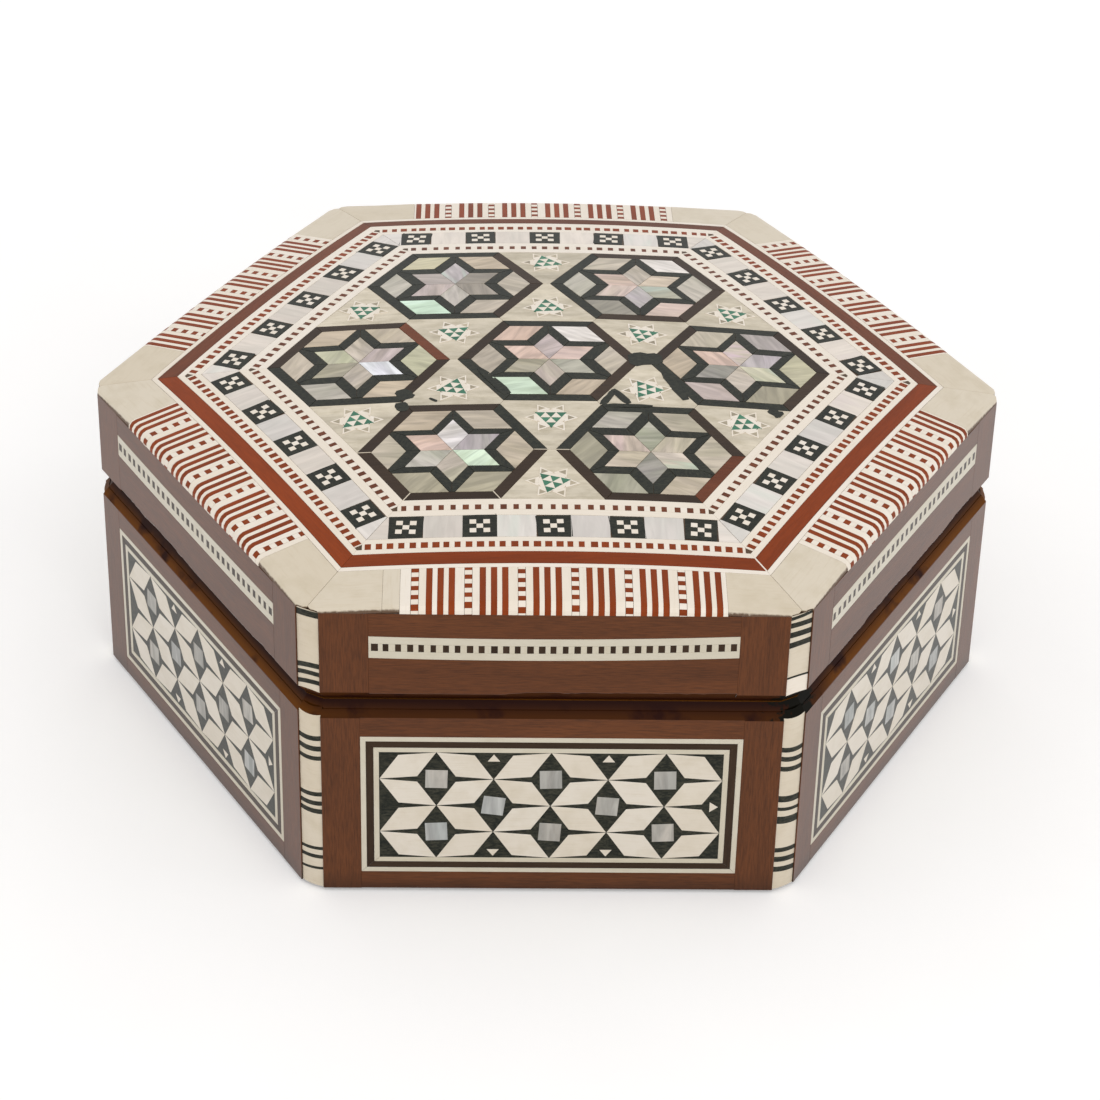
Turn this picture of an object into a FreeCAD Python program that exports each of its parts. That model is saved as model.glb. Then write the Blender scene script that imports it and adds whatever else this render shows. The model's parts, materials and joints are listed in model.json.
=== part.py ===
import FreeCAD, Part
import math
import os

# Hexagonal inlaid box: crowned lid on two butt hinges, marquetry walls and lid
# Frame: millimetres, +Z up, front flat towards -Y, origin under the middle of the box

# Outline of the box
side = 75.0
corner_strip_width = 4.0
felt_thickness = 0.6
felt_inset = 2.0

# Walls and boards
veneer = 1.0
core_thickness = 6.0
bottom_thickness = 5.0

# Heights of the seam, its groove and the lid
base_edge_height = 33.4
groove_height = 4.8
groove_depth = 2.0
rim_gap = 0.2
lid_wall_height = 15.87
crown_rise = 4.93
lid_board_thickness = 12.5
lid_edge_chamfer = 0.6

# Lid inlay, laid over the crown in bands measured inwards from the outer flats
inlay = 1.2
glue = 0.05
stripe_depth = 8.55
corner_plate_length = 12.1
stripe_slices = 3
white_line = 0.9
red_band = 2.8
outer_check = 3.4
pearl_band = 5.3
check_square = 5.2
square_count = 5
square_corner_margin = 0.3
inner_check = 4.0
banding_count = 4

# Star field of the lid: seven hexagons
hexagon_gap = 1.2
frame_strip = 1.9
star_outline = 1.25

# Check strip let into each lid wall
wall_strip_end = 7.45
wall_strip_height = 3.9
wall_strip_drop = 6.2

# Rhomb panel let into each base wall
panel_end = 6.0
panel_foot = 3.9
panel_head = 3.5
panel_columns = 3
panel_rows = 2
rhomb_lean = 0.5
string_line = 0.95
line_count = 3
pearl_square = 3.4

# Velvet lining
lining = 0.8
floor_lining = 1.0
lining_drop = 1.0
lining_fit = 0.2

# Butt hinges at the back
hinge_end = 13.2
hinge_length = 20.0
leaf_thickness = 0.8
leaf_depth = 4.6
knuckle_radius = 1.25
knuckle_gap = 0.2
barrel_room = 0.25
leaf_fit = 0.05
pin_radius = 0.6
pin_clearance = 0.05

# How far a cutting shape runs past what it cuts
overrun = 1.0

# Values worked out from the sizes above
COS30 = math.cos(math.radians(30))
TAN30 = math.tan(math.radians(30))
flat = side * COS30
corner = side - corner_strip_width / 2 * TAN30
strip_thickness = veneer / COS30
core_flat = flat - veneer
core_corner = corner - strip_thickness
inner_flat = core_flat - core_thickness
wall_foot = felt_thickness
floor_height = wall_foot + bottom_thickness
seam = base_edge_height + groove_height / 2
lid_edge_height = base_edge_height + groove_height
base_rim = seam - rim_gap / 2
lid_rim = seam + rim_gap / 2
half_flat = 2 * (corner - flat * COS30)
lid_apex = lid_edge_height + lid_wall_height + crown_rise
crown_radius = (flat ** 2 + crown_rise ** 2) / (2 * crown_rise)
lid_board_underside = lid_apex - lid_board_thickness
crown_centre = lid_apex - crown_radius
lid_wall_top = crown_centre + math.sqrt((crown_radius - inlay) ** 2 - flat ** 2)
stripe_inner = flat - stripe_depth
stripe_length = 2 * (half_flat - corner_plate_length)
white_inner = stripe_inner - white_line
red_inner = white_inner - red_band
outer_check_inner = red_inner - outer_check
pearl_inner = outer_check_inner - pearl_band
field_flat = pearl_inner - inner_check
star_hexagon_side = (field_flat / COS30 - hexagon_gap) / 3
lattice = star_hexagon_side + hexagon_gap / 2
hexagon_flat = star_hexagon_side * COS30
frame_flat = hexagon_flat - frame_strip
star_rhomb_side = (frame_flat / 2 - star_outline) / COS30
wall_strip_half = half_flat - wall_strip_end
wall_strip_top = lid_wall_top - wall_strip_drop + wall_strip_height / 2
wall_strip_foot = wall_strip_top - wall_strip_height
panel_half_width = half_flat - panel_end
panel_top = base_edge_height - panel_head
panel_middle = (panel_foot + panel_top) / 2
field_half_width = panel_half_width - line_count * string_line
field_half_height = panel_top - panel_middle - line_count * string_line
cell_wide = field_half_width / panel_columns
cell_high = field_half_height / panel_rows
hinge_y = flat - groove_depth
hinge_offset = half_flat - hinge_end
WALLS = ["front", "front_right", "back_right", "back", "back_left", "front_left"]


def vec(x, y, z=0.0):
    """Point or direction in the part's frame."""
    return FreeCAD.Vector(x, y, z)


def plan_face(points, z):
    """Level face through plan points at one height."""
    ring = [vec(x, y, z) for x, y in points]
    return Part.Face(Part.makePolygon(ring + ring[:1]))


def prism(points, low, high):
    """Upright prism over a plan outline."""
    return plan_face(points, low).extrude(vec(0, 0, high - low))


def wall_face(points):
    """Face of the front wall's outer plane, from points along the wall and up."""
    ring = [vec(u, -flat, z) for u, z in points]
    return Part.Face(Part.makePolygon(ring + ring[:1]))


def wall_plate(points):
    """Plate let into the front wall, one veneer thick."""
    return wall_face(points).extrude(vec(0, veneer, 0))


def rectangle(left, low, right, high):
    """Counter-clockwise rectangle."""
    return [(left, low), (right, low), (right, high), (left, high)]


def mirrored(points):
    """Outline mirrored left to right, still counter-clockwise."""
    return [(-x, y) for x, y in reversed(points)]


def turn_point(point, degrees):
    """Plan point turned about the box's axis."""
    angle = math.radians(degrees)
    x, y = point
    return (x * math.cos(angle) - y * math.sin(angle), x * math.sin(angle) + y * math.cos(angle))


def turned(shape, degrees):
    """Copy of a shape turned about the box's axis."""
    copy = shape.copy()
    copy.rotate(vec(0, 0, 0), vec(0, 0, 1), degrees)
    return copy


def around(shapes):
    """Copies of the shapes on all six sides."""
    return [turned(shape, 60 * k) for k in range(6) for shape in shapes]


def inset(points, distance):
    """Counter-clockwise outline with every edge moved inwards."""
    moved = []
    count = len(points)
    for i in range(count):
        here = points[i]
        before = points[i - 1]
        after = points[(i + 1) % count]
        length_1 = math.dist(before, here)
        length_2 = math.dist(here, after)
        normal_1 = ((before[1] - here[1]) / length_1, (here[0] - before[0]) / length_1)
        normal_2 = ((here[1] - after[1]) / length_2, (after[0] - here[0]) / length_2)
        share = distance / (1 + normal_1[0] * normal_2[0] + normal_1[1] * normal_2[1])
        moved.append((here[0] + (normal_1[0] + normal_2[0]) * share,
                      here[1] + (normal_1[1] + normal_2[1]) * share))
    return moved


def blunt_hexagon(flat_distance, corner_distance):
    """Hexagon outline with its corners cut off square."""
    half = 2 * (corner_distance - flat_distance * COS30)
    ends = ((-half, -flat_distance), (half, -flat_distance))
    return [turn_point(end, 60 * k) for k in range(6) for end in ends]


def hexagon(flat_distance, shift=0.0, degrees=0):
    """Sharp hexagon outline with flats at one distance, moved along +X and then turned."""
    radius = flat_distance / COS30
    ring = [turn_point((radius, 0), 60 * k) for k in range(6)]
    return [turn_point((x + shift, y), degrees) for x, y in ring]


def mitred_band(near, far):
    """Strip along the front side between two distances from the axis, mitred at its ends."""
    return [(-far * TAN30, -far), (far * TAN30, -far), (near * TAN30, -near), (-near * TAN30, -near)]


def crown_ball(depth):
    """Ball whose top is the lid's crown lowered by a depth, with its poles far from the lid."""
    ball = Part.makeSphere(crown_radius - depth)
    ball.rotate(vec(0, 0, 0), vec(1, 0, 0), 90)
    ball.translate(vec(0, 0, crown_centre))
    return ball


def ruled_solid(low_points, low, high_points, high):
    """Solid with straight sides between two level outlines."""
    wires = []
    for points, z in ((low_points, low), (high_points, high)):
        ring = [vec(x, y, z) for x, y in points]
        wires.append(Part.makePolygon(ring + ring[:1]))
    return Part.makeLoft(wires, True, True)


OUTER = blunt_hexagon(flat, corner)
GROOVE = blunt_hexagon(flat - groove_depth, corner - groove_depth)
CORE = blunt_hexagon(core_flat, core_corner)


def base_space():
    """Room the base's outer pieces fill: straight walls and the bevel under the seam."""
    walls = prism(OUTER, wall_foot, base_edge_height)
    bevel = ruled_solid(OUTER, base_edge_height, GROOVE, seam)
    return walls.fuse(bevel)


def lid_space():
    """Room the lid's outer pieces fill: the bevel over the seam and walls up to the inlay."""
    bevel = ruled_solid(GROOVE, seam, OUTER, lid_edge_height)
    walls = prism(OUTER, lid_edge_height, lid_apex)
    return bevel.fuse(walls).common(crown_ball(inlay + glue))


def core_wall(low, high, space):
    """Front core wall, mitred at its ends and cut back for the corner strips."""
    reach = core_corner
    half = 2 * (core_corner - core_flat * COS30)
    inner = inner_flat * TAN30
    outline = [(-half, -core_flat), (half, -core_flat), (reach / 2, -reach * COS30),
               (inner, -inner_flat), (-inner, -inner_flat), (-reach / 2, -reach * COS30)]
    return prism(outline, low, high).common(space)


def corner_strip(low, high, space):
    """Bone strip on the front right corner."""
    half = corner_strip_width / 2
    outline = rectangle(core_corner, -half, corner, half)
    return prism([turn_point(p, -60) for p in outline], low, high).common(space)


def veneer_stiles(inner_end, low, high, space):
    """Upright veneers of the front wall, between its inlay and the corner strips."""
    outline = [(inner_end, -flat), (half_flat, -flat),
               (half_flat - veneer * TAN30, -core_flat), (inner_end, -core_flat)]
    return [prism(points, low, high).common(space) for points in (outline, mirrored(outline))]


def veneer_rails(half, low, inlay_low, inlay_high, high, space):
    """Level veneers under and over the inlay of the front wall."""
    strip = rectangle(-half, -flat, half, -core_flat)
    return [prism(strip, *span).common(space) for span in ((low, inlay_low), (inlay_high, high))]


def panel_lines():
    """Bone, dark and bone lines round the front panel, outermost first."""
    lines = []
    for step in range(line_count):
        gap = (line_count - step) * string_line
        edge = rectangle(-field_half_width - gap, panel_middle - field_half_height - gap,
                         field_half_width + gap, panel_middle + field_half_height + gap)
        lines.append(wall_plate(edge).cut(wall_plate(inset(edge, string_line))))
    return lines


def steps(pitch, count):
    """Evenly spaced places about zero."""
    return [pitch * (i - (count - 1) / 2) for i in range(count)]


def rhomb_panel():
    """Pieces of the front rhomb panel, keyed by node: lines, black stars, rhombs and pearls."""
    columns = steps(2 * cell_wide, panel_columns)
    rows = [panel_middle + z for z in steps(2 * cell_high, panel_rows)]
    between_columns = steps(2 * cell_wide, panel_columns + 1)
    between_rows = [panel_middle + z for z in steps(2 * cell_high, panel_rows + 1)]
    cells = [(u, z) for u in columns for z in rows]
    crossings = [(u, z) for u in between_columns for z in between_rows]
    inner_crossings = [(u, z) for u in between_columns[1:-1] for z in between_rows[1:-1]]

    star = []
    for across, up in ((1, 1), (-1, 1), (-1, -1), (1, -1)):
        tip = (across * cell_wide, 0) if across == up else (0, up * cell_high)
        star += [tip, (across * cell_wide / 3, up * rhomb_lean)]
    rhomb = [(-cell_wide, 0), (-cell_wide * 2 / 3, rhomb_lean - cell_high), (0, -cell_high),
             (-cell_wide / 3, -rhomb_lean)]
    low_rhombs = [rhomb, mirrored(rhomb)]
    rhombs = low_rhombs + [[(-x, -y) for x, y in outline] for outline in low_rhombs]

    def at(outline, place):
        return [(x + place[0], y + place[1]) for x, y in outline]

    half = pearl_square / 2
    square = rectangle(-half, -half, half, half)
    pearls = [at(square, place) for place in cells + inner_crossings]
    field = wall_plate(rectangle(-field_half_width, panel_middle - field_half_height,
                                 field_half_width, panel_middle + field_half_height))
    stars = [wall_plate(inset(at(star, place), glue / 2)) for place in cells + crossings]
    let_in = [wall_plate(outline) for outline in pearls]
    ground = Part.makeCompound(stars).common(field).cut(Part.makeCompound(let_in))
    lines = panel_lines()
    return {"panel_outer_bone_lines": [lines[0]],
            "panel_dark_lines": [lines[1]],
            "panel_inner_bone_lines": [lines[2]],
            "panel_grounds": ground.Solids,
            "panel_bone_rhombs": [wall_plate(inset(at(p, c), glue / 2)) for c in cells for p in rhombs],
            "panel_pearl_squares": [wall_plate(inset(p, glue)) for p in pearls]}


def bent_strip(points):
    """Inlay strip bent over the crown: a plan outline less its share of the glue line."""
    column = prism(inset(points, glue / 2), lid_board_underside, lid_apex + overrun)
    return column.common(crown_ball(0)).cut(crown_ball(inlay))


def tile_seat(points):
    """Underside corners of a flat tile that lies on the lid board under its middle, and its height."""
    outline = inset(points, glue / 2)
    mid_x = sum(x for x, y in outline) / len(outline)
    mid_y = sum(y for x, y in outline) / len(outline)
    rise = math.sqrt(crown_radius ** 2 - mid_x ** 2 - mid_y ** 2)
    height = (inlay + glue) * crown_radius / rise
    foot = crown_centre + rise - height
    ring = [vec(x, y, foot - ((x - mid_x) * mid_x + (y - mid_y) * mid_y) / rise) for x, y in outline]
    return ring, vec(0, 0, height)


def flat_tile(points):
    """Flat inlay piece over a plan outline, lying on the lid board under its middle."""
    ring, height = tile_seat(points)
    return Part.Face(Part.makePolygon(ring + ring[:1])).extrude(height)


def chamfer_bar(start, stop):
    """Three-sided bar along a top edge, whose slope takes the chamfer off it."""
    run = (stop - start).normalize()
    out = vec(run.y, -run.x).normalize() * lid_edge_chamfer
    up = vec(0, 0, lid_edge_chamfer)
    first = start - run * overrun
    ring = [first - out * 2 + up, first + out - up * 2, first + out + up]
    length = start.distanceToPoint(stop) + 2 * overrun
    return Part.Face(Part.makePolygon(ring + ring[:1])).extrude(run * length)


def edge_tile(points, outer):
    """Flat tile with the top of its first edges, those on the lid's outline, chamfered."""
    tile = flat_tile(points)
    ring, height = tile_seat(points)
    for start, stop in zip(ring[:outer], ring[1:]):
        tile = tile.cut(chamfer_bar(start + height, stop + height))
    return tile


def butted_lengths(near, far):
    """Outlines of a strip along the front side, in butted lengths and mitred at both ends."""
    pitch = 2 * near * TAN30 / banding_count
    lengths = [rectangle(u - pitch / 2, -far, u + pitch / 2, -near) for u in steps(pitch, banding_count)]
    lengths[0][0] = (-far * TAN30, -far)
    lengths[-1][1] = (far * TAN30, -far)
    return lengths


def lid_border():
    """Front sixth of the lid's border, keyed by node."""
    half = stripe_length / 2
    plate = [(half, -flat), (half_flat, -flat), (corner / 2, -corner * COS30),
             (stripe_inner * TAN30, -stripe_inner), (half, -stripe_inner)]
    other_plate = mirrored(plate)
    plates = [plate, other_plate[2:] + other_plate[:2]]
    slice_length = stripe_length / stripe_slices
    slices = [rectangle(u - slice_length / 2, -flat, u + slice_length / 2, -stripe_inner)
              for u in steps(slice_length, stripe_slices)]
    reach = pearl_inner * TAN30 - square_corner_margin
    pitch = (2 * reach - check_square) / (square_count - 1)
    middles = steps(pitch, square_count)
    squares = [rectangle(u - check_square / 2, -outer_check_inner, u + check_square / 2, -pearl_inner)
               for u in middles]
    pearls = [rectangle(u + check_square / 2, -outer_check_inner, u + pitch - check_square / 2, -pearl_inner)
              for u in middles[:-1]]
    end_pearl = [(reach, -outer_check_inner), (outer_check_inner * TAN30, -outer_check_inner),
                 (pearl_inner * TAN30, -pearl_inner), (reach, -pearl_inner)]
    tiles = {"lid_white_lines": butted_lengths(white_inner, stripe_inner),
             "lid_outer_check_strips": butted_lengths(outer_check_inner, red_inner),
             "lid_black_squares": squares,
             "lid_pearl_plates": pearls + [end_pearl, mirrored(end_pearl)],
             "lid_inner_check_strips": butted_lengths(field_flat, pearl_inner)}
    nodes = {node: [flat_tile(points) for points in outlines] for node, outlines in tiles.items()}
    nodes["lid_red_bands"] = [bent_strip(mitred_band(red_inner, white_inner))]
    nodes["lid_bone_plates"] = [edge_tile(points, 2) for points in plates]
    nodes["lid_striped_bands"] = [edge_tile(points, 1) for points in slices]
    return nodes


def star_hexagon(shift, turns):
    """Pieces of one star hexagon whose middle lies along +X, keyed by node."""
    rhomb_tip = star_rhomb_side * 2 * COS30
    notch = star_rhomb_side + star_outline / COS30

    def ray(radius, degrees):
        return turn_point((radius, 0), degrees)

    def placed(points):
        return [(x + shift, y) for x, y in points]

    strips = []
    rhombs = []
    kites = []
    for k in range(turns):
        at = 60 * k
        strips.append([turn_point(p, at) for p in mitred_band(frame_flat, hexagon_flat)])
        rhombs.append([(0, 0), ray(star_rhomb_side, at), ray(rhomb_tip, at + 30),
                       ray(star_rhomb_side, at + 60)])
        kites.append([ray(notch, at), ray(frame_flat, at - 30), ray(frame_flat / COS30, at),
                      ray(frame_flat, at + 30)])
    outer_star = [ray(r, a + 60 * k) for k in range(6) for r, a in ((notch, 0), (frame_flat, 30))]
    inner_star = [ray(r, a + 60 * k) for k in range(6) for r, a in ((star_rhomb_side, 0), (rhomb_tip, 30))]
    hole = prism(placed(inset(inner_star, -glue / 2)), lid_board_underside, lid_apex + overrun)
    return {"hexagon_frames": [flat_tile(placed(p)) for p in strips],
            "star_rhombs": [flat_tile(placed(p)) for p in rhombs],
            "corner_kites": [flat_tile(placed(p)) for p in kites],
            "star_outlines": [flat_tile(placed(outer_star)).cut(hole)]}


def triangle_outlines():
    """One inner and one border triangle between the hexagons, each with its tips cut off."""
    near = hexagon(hexagon_flat)
    right = hexagon(hexagon_flat, 2 * lattice)
    upper = hexagon(hexagon_flat, 2 * lattice, 60)
    inner = [near[0], right[3], right[2], upper[4], upper[3], near[1]]
    border = [right[2], right[1], upper[5], upper[4]]
    return [inner, border]


def lid_field():
    """Star field of the lid, keyed by node."""
    middle = star_hexagon(0, 1)
    outer = star_hexagon(2 * lattice, 6)
    nodes = {node: around(outer[node]) for node in outer}
    for node in middle:
        nodes[node] += middle[node] if node == "star_outlines" else around(middle[node])
    nodes["triangle_grounds"] = around([flat_tile(points) for points in triangle_outlines()])
    return nodes


def barrel(radius, start, stop):
    """Round bar along the hinge line."""
    return Part.makeCylinder(radius, stop - start, vec(start, hinge_y, seam), vec(1, 0, 0))


def knuckle_spans(middle):
    """The three knuckles of one hinge, left to right."""
    length = (hinge_length - 2 * knuckle_gap) / 3
    starts = [middle - hinge_length / 2 + k * (length + knuckle_gap) for k in range(3)]
    return [(start, start + length) for start in starts]


def seam_box(start, stop, reach):
    """Square notch along the hinge line, reaching equally far from it all round."""
    return Part.makeBox(stop - start, 2 * reach, 2 * reach, vec(start, hinge_y - reach, seam - reach))


def leaf_box(middle, below, grow=0.0):
    """Plate of one leaf, below or above the seam, grown sideways for its recess."""
    low = base_rim - leaf_thickness if below else lid_rim
    corner_point = vec(middle - hinge_length / 2 - grow, hinge_y - leaf_depth - grow, low)
    return Part.makeBox(hinge_length + 2 * grow, leaf_depth + grow, leaf_thickness, corner_point)


def hinge_leaf(middle, below):
    """Leaf with its knuckles: the base's two carry the fixed pin, on which the lid's one turns."""
    spans = knuckle_spans(middle)
    own = [spans[0], spans[2]] if below else [spans[1]]
    other = [spans[1]] if below else [spans[0], spans[2]]
    leaf = leaf_box(middle, below)
    for start, stop in other:
        leaf = leaf.cut(seam_box(start - knuckle_gap, stop + knuckle_gap, knuckle_radius + knuckle_gap))
    for start, stop in own:
        leaf = leaf.fuse(barrel(knuckle_radius, start, stop))
    if below:
        leaf = leaf.fuse(barrel(pin_radius, spans[0][1], spans[2][0]))
    else:
        leaf = leaf.cut(barrel(pin_radius + pin_clearance, spans[0][0], spans[2][1]))
    return leaf.removeSplitter()


def with_hinge_recess(wall, below):
    """Back wall with recesses for both leaves and their barrels."""
    for middle in (-hinge_offset, hinge_offset):
        reach = hinge_length / 2 + leaf_fit
        wall = wall.cut(leaf_box(middle, below, leaf_fit))
        wall = wall.cut(seam_box(middle - reach, middle + reach, knuckle_radius + barrel_room))
    return wall


def wall_nodes(prefix, wall, below):
    """Six core walls as separate nodes, the back one cut for the hinges."""
    nodes = {}
    for k, name in enumerate(WALLS):
        piece = turned(wall, 60 * k)
        if name == "back":
            piece = with_hinge_recess(piece, below)
        nodes[prefix + "_wall_" + name] = [piece]
    return nodes


def base_nodes():
    """Every node of the base."""
    space = base_space()
    nodes = wall_nodes("base", core_wall(wall_foot, base_rim, space), True)
    nodes["base_bottom_board"] = [prism(hexagon(inner_flat), wall_foot, floor_height)]
    felt = blunt_hexagon(flat - felt_inset, corner - felt_inset)
    nodes["underside_felt"] = [prism(felt, 0, felt_thickness)]
    nodes["base_corner_strips"] = around([corner_strip(wall_foot, base_rim, space)])
    nodes["base_veneer_stiles"] = around(veneer_stiles(panel_half_width, wall_foot, base_rim, space))
    rails = veneer_rails(panel_half_width, wall_foot, panel_foot, panel_top, base_rim, space)
    nodes["base_veneer_rails"] = around(rails)
    for node, pieces in rhomb_panel().items():
        nodes[node] = around(pieces)
    floor = hexagon(inner_flat - lining - lining_fit)
    nodes["base_floor_lining"] = [prism(floor, floor_height, floor_height + floor_lining)]
    wall_lining = mitred_band(inner_flat - lining, inner_flat)
    nodes["base_wall_linings"] = around([prism(wall_lining, floor_height, base_rim - lining_drop)])
    return nodes


def lid_nodes():
    """Every node of the lid."""
    space = lid_space()
    nodes = wall_nodes("lid", core_wall(lid_rim, lid_board_underside, space), False)
    nodes["lid_board"] = [prism(CORE, lid_board_underside, lid_apex).common(space)]
    nodes["lid_corner_strips"] = around([corner_strip(lid_rim, lid_apex, space)])
    strip = rectangle(-wall_strip_half, wall_strip_foot, wall_strip_half, wall_strip_top)
    nodes["lid_wall_check_strips"] = around([wall_plate(strip)])
    nodes["lid_veneer_stiles"] = around(veneer_stiles(wall_strip_half, lid_rim, lid_apex, space))
    rails = veneer_rails(wall_strip_half, lid_rim, wall_strip_foot, wall_strip_top, lid_apex, space)
    nodes["lid_veneer_rails"] = around(rails)
    for node, pieces in lid_border().items():
        nodes[node] = around(pieces)
    nodes.update(lid_field())
    ceiling = hexagon(inner_flat - lining - lining_fit)
    nodes["lid_ceiling_lining"] = [prism(ceiling, lid_board_underside - lining, lid_board_underside)]
    wall_lining = mitred_band(inner_flat - lining, inner_flat)
    nodes["lid_wall_linings"] = around([prism(wall_lining, lid_rim + lining_drop, lid_board_underside)])
    return nodes


def hinge_nodes():
    """Leaves of both hinges."""
    nodes = {}
    for name, middle in (("left", -hinge_offset), ("right", hinge_offset)):
        nodes["hinge_%s_base_leaf" % name] = [hinge_leaf(middle, True)]
        nodes["hinge_%s_lid_leaf" % name] = [hinge_leaf(middle, False)]
    return nodes


def main():
    """Build every node and write one STEP file each."""
    os.makedirs("parts", exist_ok=True)
    nodes = base_nodes()
    nodes.update(lid_nodes())
    nodes.update(hinge_nodes())
    for node, pieces in nodes.items():
        solids = [solid for piece in pieces for solid in piece.Solids]
        shape = solids[0] if len(solids) == 1 else Part.makeCompound(solids)
        shape.exportStep("parts/%s.step" % node)
        print(node, len(solids), "solids", round(sum(s.Volume for s in solids), 1), "mm3",
              "valid" if all(s.isValid() for s in solids) else "NOT VALID")


main()
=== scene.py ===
"""Six-sided inlaid wooden box with a hinged lid, dressed piece by piece over its CAD frame."""
import json
import math
from functools import partial

import bpy
import numpy as np
from mathutils import Matrix, Vector


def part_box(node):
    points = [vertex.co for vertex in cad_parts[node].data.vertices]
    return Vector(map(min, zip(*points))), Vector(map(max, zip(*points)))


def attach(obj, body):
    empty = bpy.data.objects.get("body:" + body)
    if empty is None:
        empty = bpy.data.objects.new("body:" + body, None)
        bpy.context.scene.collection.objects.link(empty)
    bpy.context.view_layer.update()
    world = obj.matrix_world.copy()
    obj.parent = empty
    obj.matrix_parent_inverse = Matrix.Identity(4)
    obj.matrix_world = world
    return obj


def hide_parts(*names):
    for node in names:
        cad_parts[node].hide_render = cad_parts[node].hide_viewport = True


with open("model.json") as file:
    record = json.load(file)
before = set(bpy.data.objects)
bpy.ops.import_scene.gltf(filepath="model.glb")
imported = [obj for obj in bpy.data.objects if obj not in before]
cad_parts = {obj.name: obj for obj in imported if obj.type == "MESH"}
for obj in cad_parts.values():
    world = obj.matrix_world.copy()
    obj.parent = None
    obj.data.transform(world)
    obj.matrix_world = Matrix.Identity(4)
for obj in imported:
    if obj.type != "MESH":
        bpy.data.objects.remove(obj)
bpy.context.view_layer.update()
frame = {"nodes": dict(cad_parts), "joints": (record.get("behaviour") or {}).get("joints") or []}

bl_info = {
    "name": "Inlaid wooden box",
    "version": (1, 0, 0),
    "blender": (4, 5, 0),
    "location": "3D View > Sidebar > Box",
    "description": "Dresses the CAD frame of a six-sided box in bone, pearl and wood inlay",
    "category": "Object",
}

MM = 0.001
TAN30 = math.tan(math.pi / 6)
COS30 = math.cos(math.pi / 6)
TAN15 = math.tan(math.pi / 12)
SIXTHS = np.arange(6) * 60


def reach(node):
    """How far a node comes out to the front from the box's axis."""
    return -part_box(node)[0].y


def heights(node):
    """Lowest and highest level of a node."""
    return [corner.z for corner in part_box(node)]


# Sizes of the frame, in metres. Side 0 is the front, and each turn is a sixth of a circle to the right.
SIDES = ("front", "front_right", "back_right", "back", "back_left", "front_left")
FLAT = reach("lid_wall_check_strips")
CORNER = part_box("base_corner_strips")[1].x
HALF_FLAT = (CORNER - FLAT * COS30) * 2
SEAM = frame["joints"][0]["pos_m"][2]
FOOT = heights("base_veneer_rails")[0]
GROOVE = 2.4 * MM  # half the height of the groove along the seam
GROOVE_SLOPE = 1.2  # half the groove's height to its depth
BASE_EDGE = SEAM - GROOVE
LID_EDGE = SEAM + GROOVE
APEX = heights("lid_board")[1] + 1.25 * MM  # the CAD's inlay and its glue
STRIPE_IN = reach("lid_white_lines")
RED_OUT = reach("lid_red_bands")
CHECK_OUT = reach("lid_outer_check_strips")
PEARL_OUT = reach("lid_pearl_plates")
PEARL_IN = reach("lid_inner_check_strips")
FIELD = PEARL_IN - 4.0 * MM  # inside the inner check strips
PANEL_LOW, PANEL_HIGH = heights("panel_outer_bone_lines")
STRIP_LOW, STRIP_HIGH = heights("lid_wall_check_strips")
PANEL_HALF = 29.19 * MM  # half the width of a rhomb panel
STRIP_HALF = 27.74 * MM  # half the length of a check strip in the lid's walls
BAND_HALF = 23.09 * MM  # half the length of a striped band
CORNER_HALF = 2 * MM  # half the width of a corner strip
CORNER_ROUND = 0.25 * MM  # how far a corner strip falls back at its edges
WALL_THICK = 0.9 * MM  # veneer and corner strips
TIGHT = 0.01 * MM  # bevel and glue line within a banding, where they hardly show


def linear(hexadecimal):
    """Linear RGBA of an sRGB hex colour."""
    value = int(hexadecimal.lstrip("#"), 16)
    share = np.array([value >> 16, value >> 8 & 255, value & 255]) / 255
    return (*np.where(share <= 0.04045, share / 12.92, ((share + 0.055) / 1.055) ** 2.4).tolist(), 1.0)


def colour(name, description, hexadecimal):
    """Colour property with an sRGB hex default."""
    return bpy.props.FloatVectorProperty(name=name, description=description, subtype="COLOR", size=4,
                                         min=0, max=1, default=linear(hexadecimal))


def length(name, description, millimetres):
    """Length property whose default is given in millimetres."""
    return bpy.props.FloatProperty(name=name, description=description, unit="LENGTH", subtype="DISTANCE",
                                   precision=5, min=0, default=millimetres * MM)


class BOX_PG_sizes(bpy.types.PropertyGroup):
    """Sizes of the inlay that a user would change."""
    corner_drop: length("Crown drop", "How far the crown falls from the middle of the lid to a corner", 6.0)
    lid_wall_top: length("Lid wall top", "Height of the line where the lid's top meets its walls", 52.5)
    joint: length("Joint", "Width of the glue line between two pieces of inlay", 0.06)
    sunk: length("Edge rounding", "Bevel worn on the edge of each piece of inlay", 0.03)
    inlay: length("Inlay thickness", "Thickness of the pieces of inlay", 0.45)
    hexagon_gap: length("Hexagon gap", "Gap between the corners of two star hexagons", 1.2)
    frame_strip: length("Frame strip", "Width of the strips round a star hexagon", 1.9)
    star_outline: length("Star outline", "Width of the black strips round a star", 1.7)
    bone_line: length("Bone line", "Width of the two bone lines round a rhomb panel", 0.85)
    dark_line: length("Dark line", "Width of the dark line round a rhomb panel", 1.15)
    pearl_square: length("Pearl square", "Side of the pearl squares in a rhomb panel", 3.4)
    black_square: length("Black square", "Side of the black squares in the lid's pearl band", 5.2)


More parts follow.
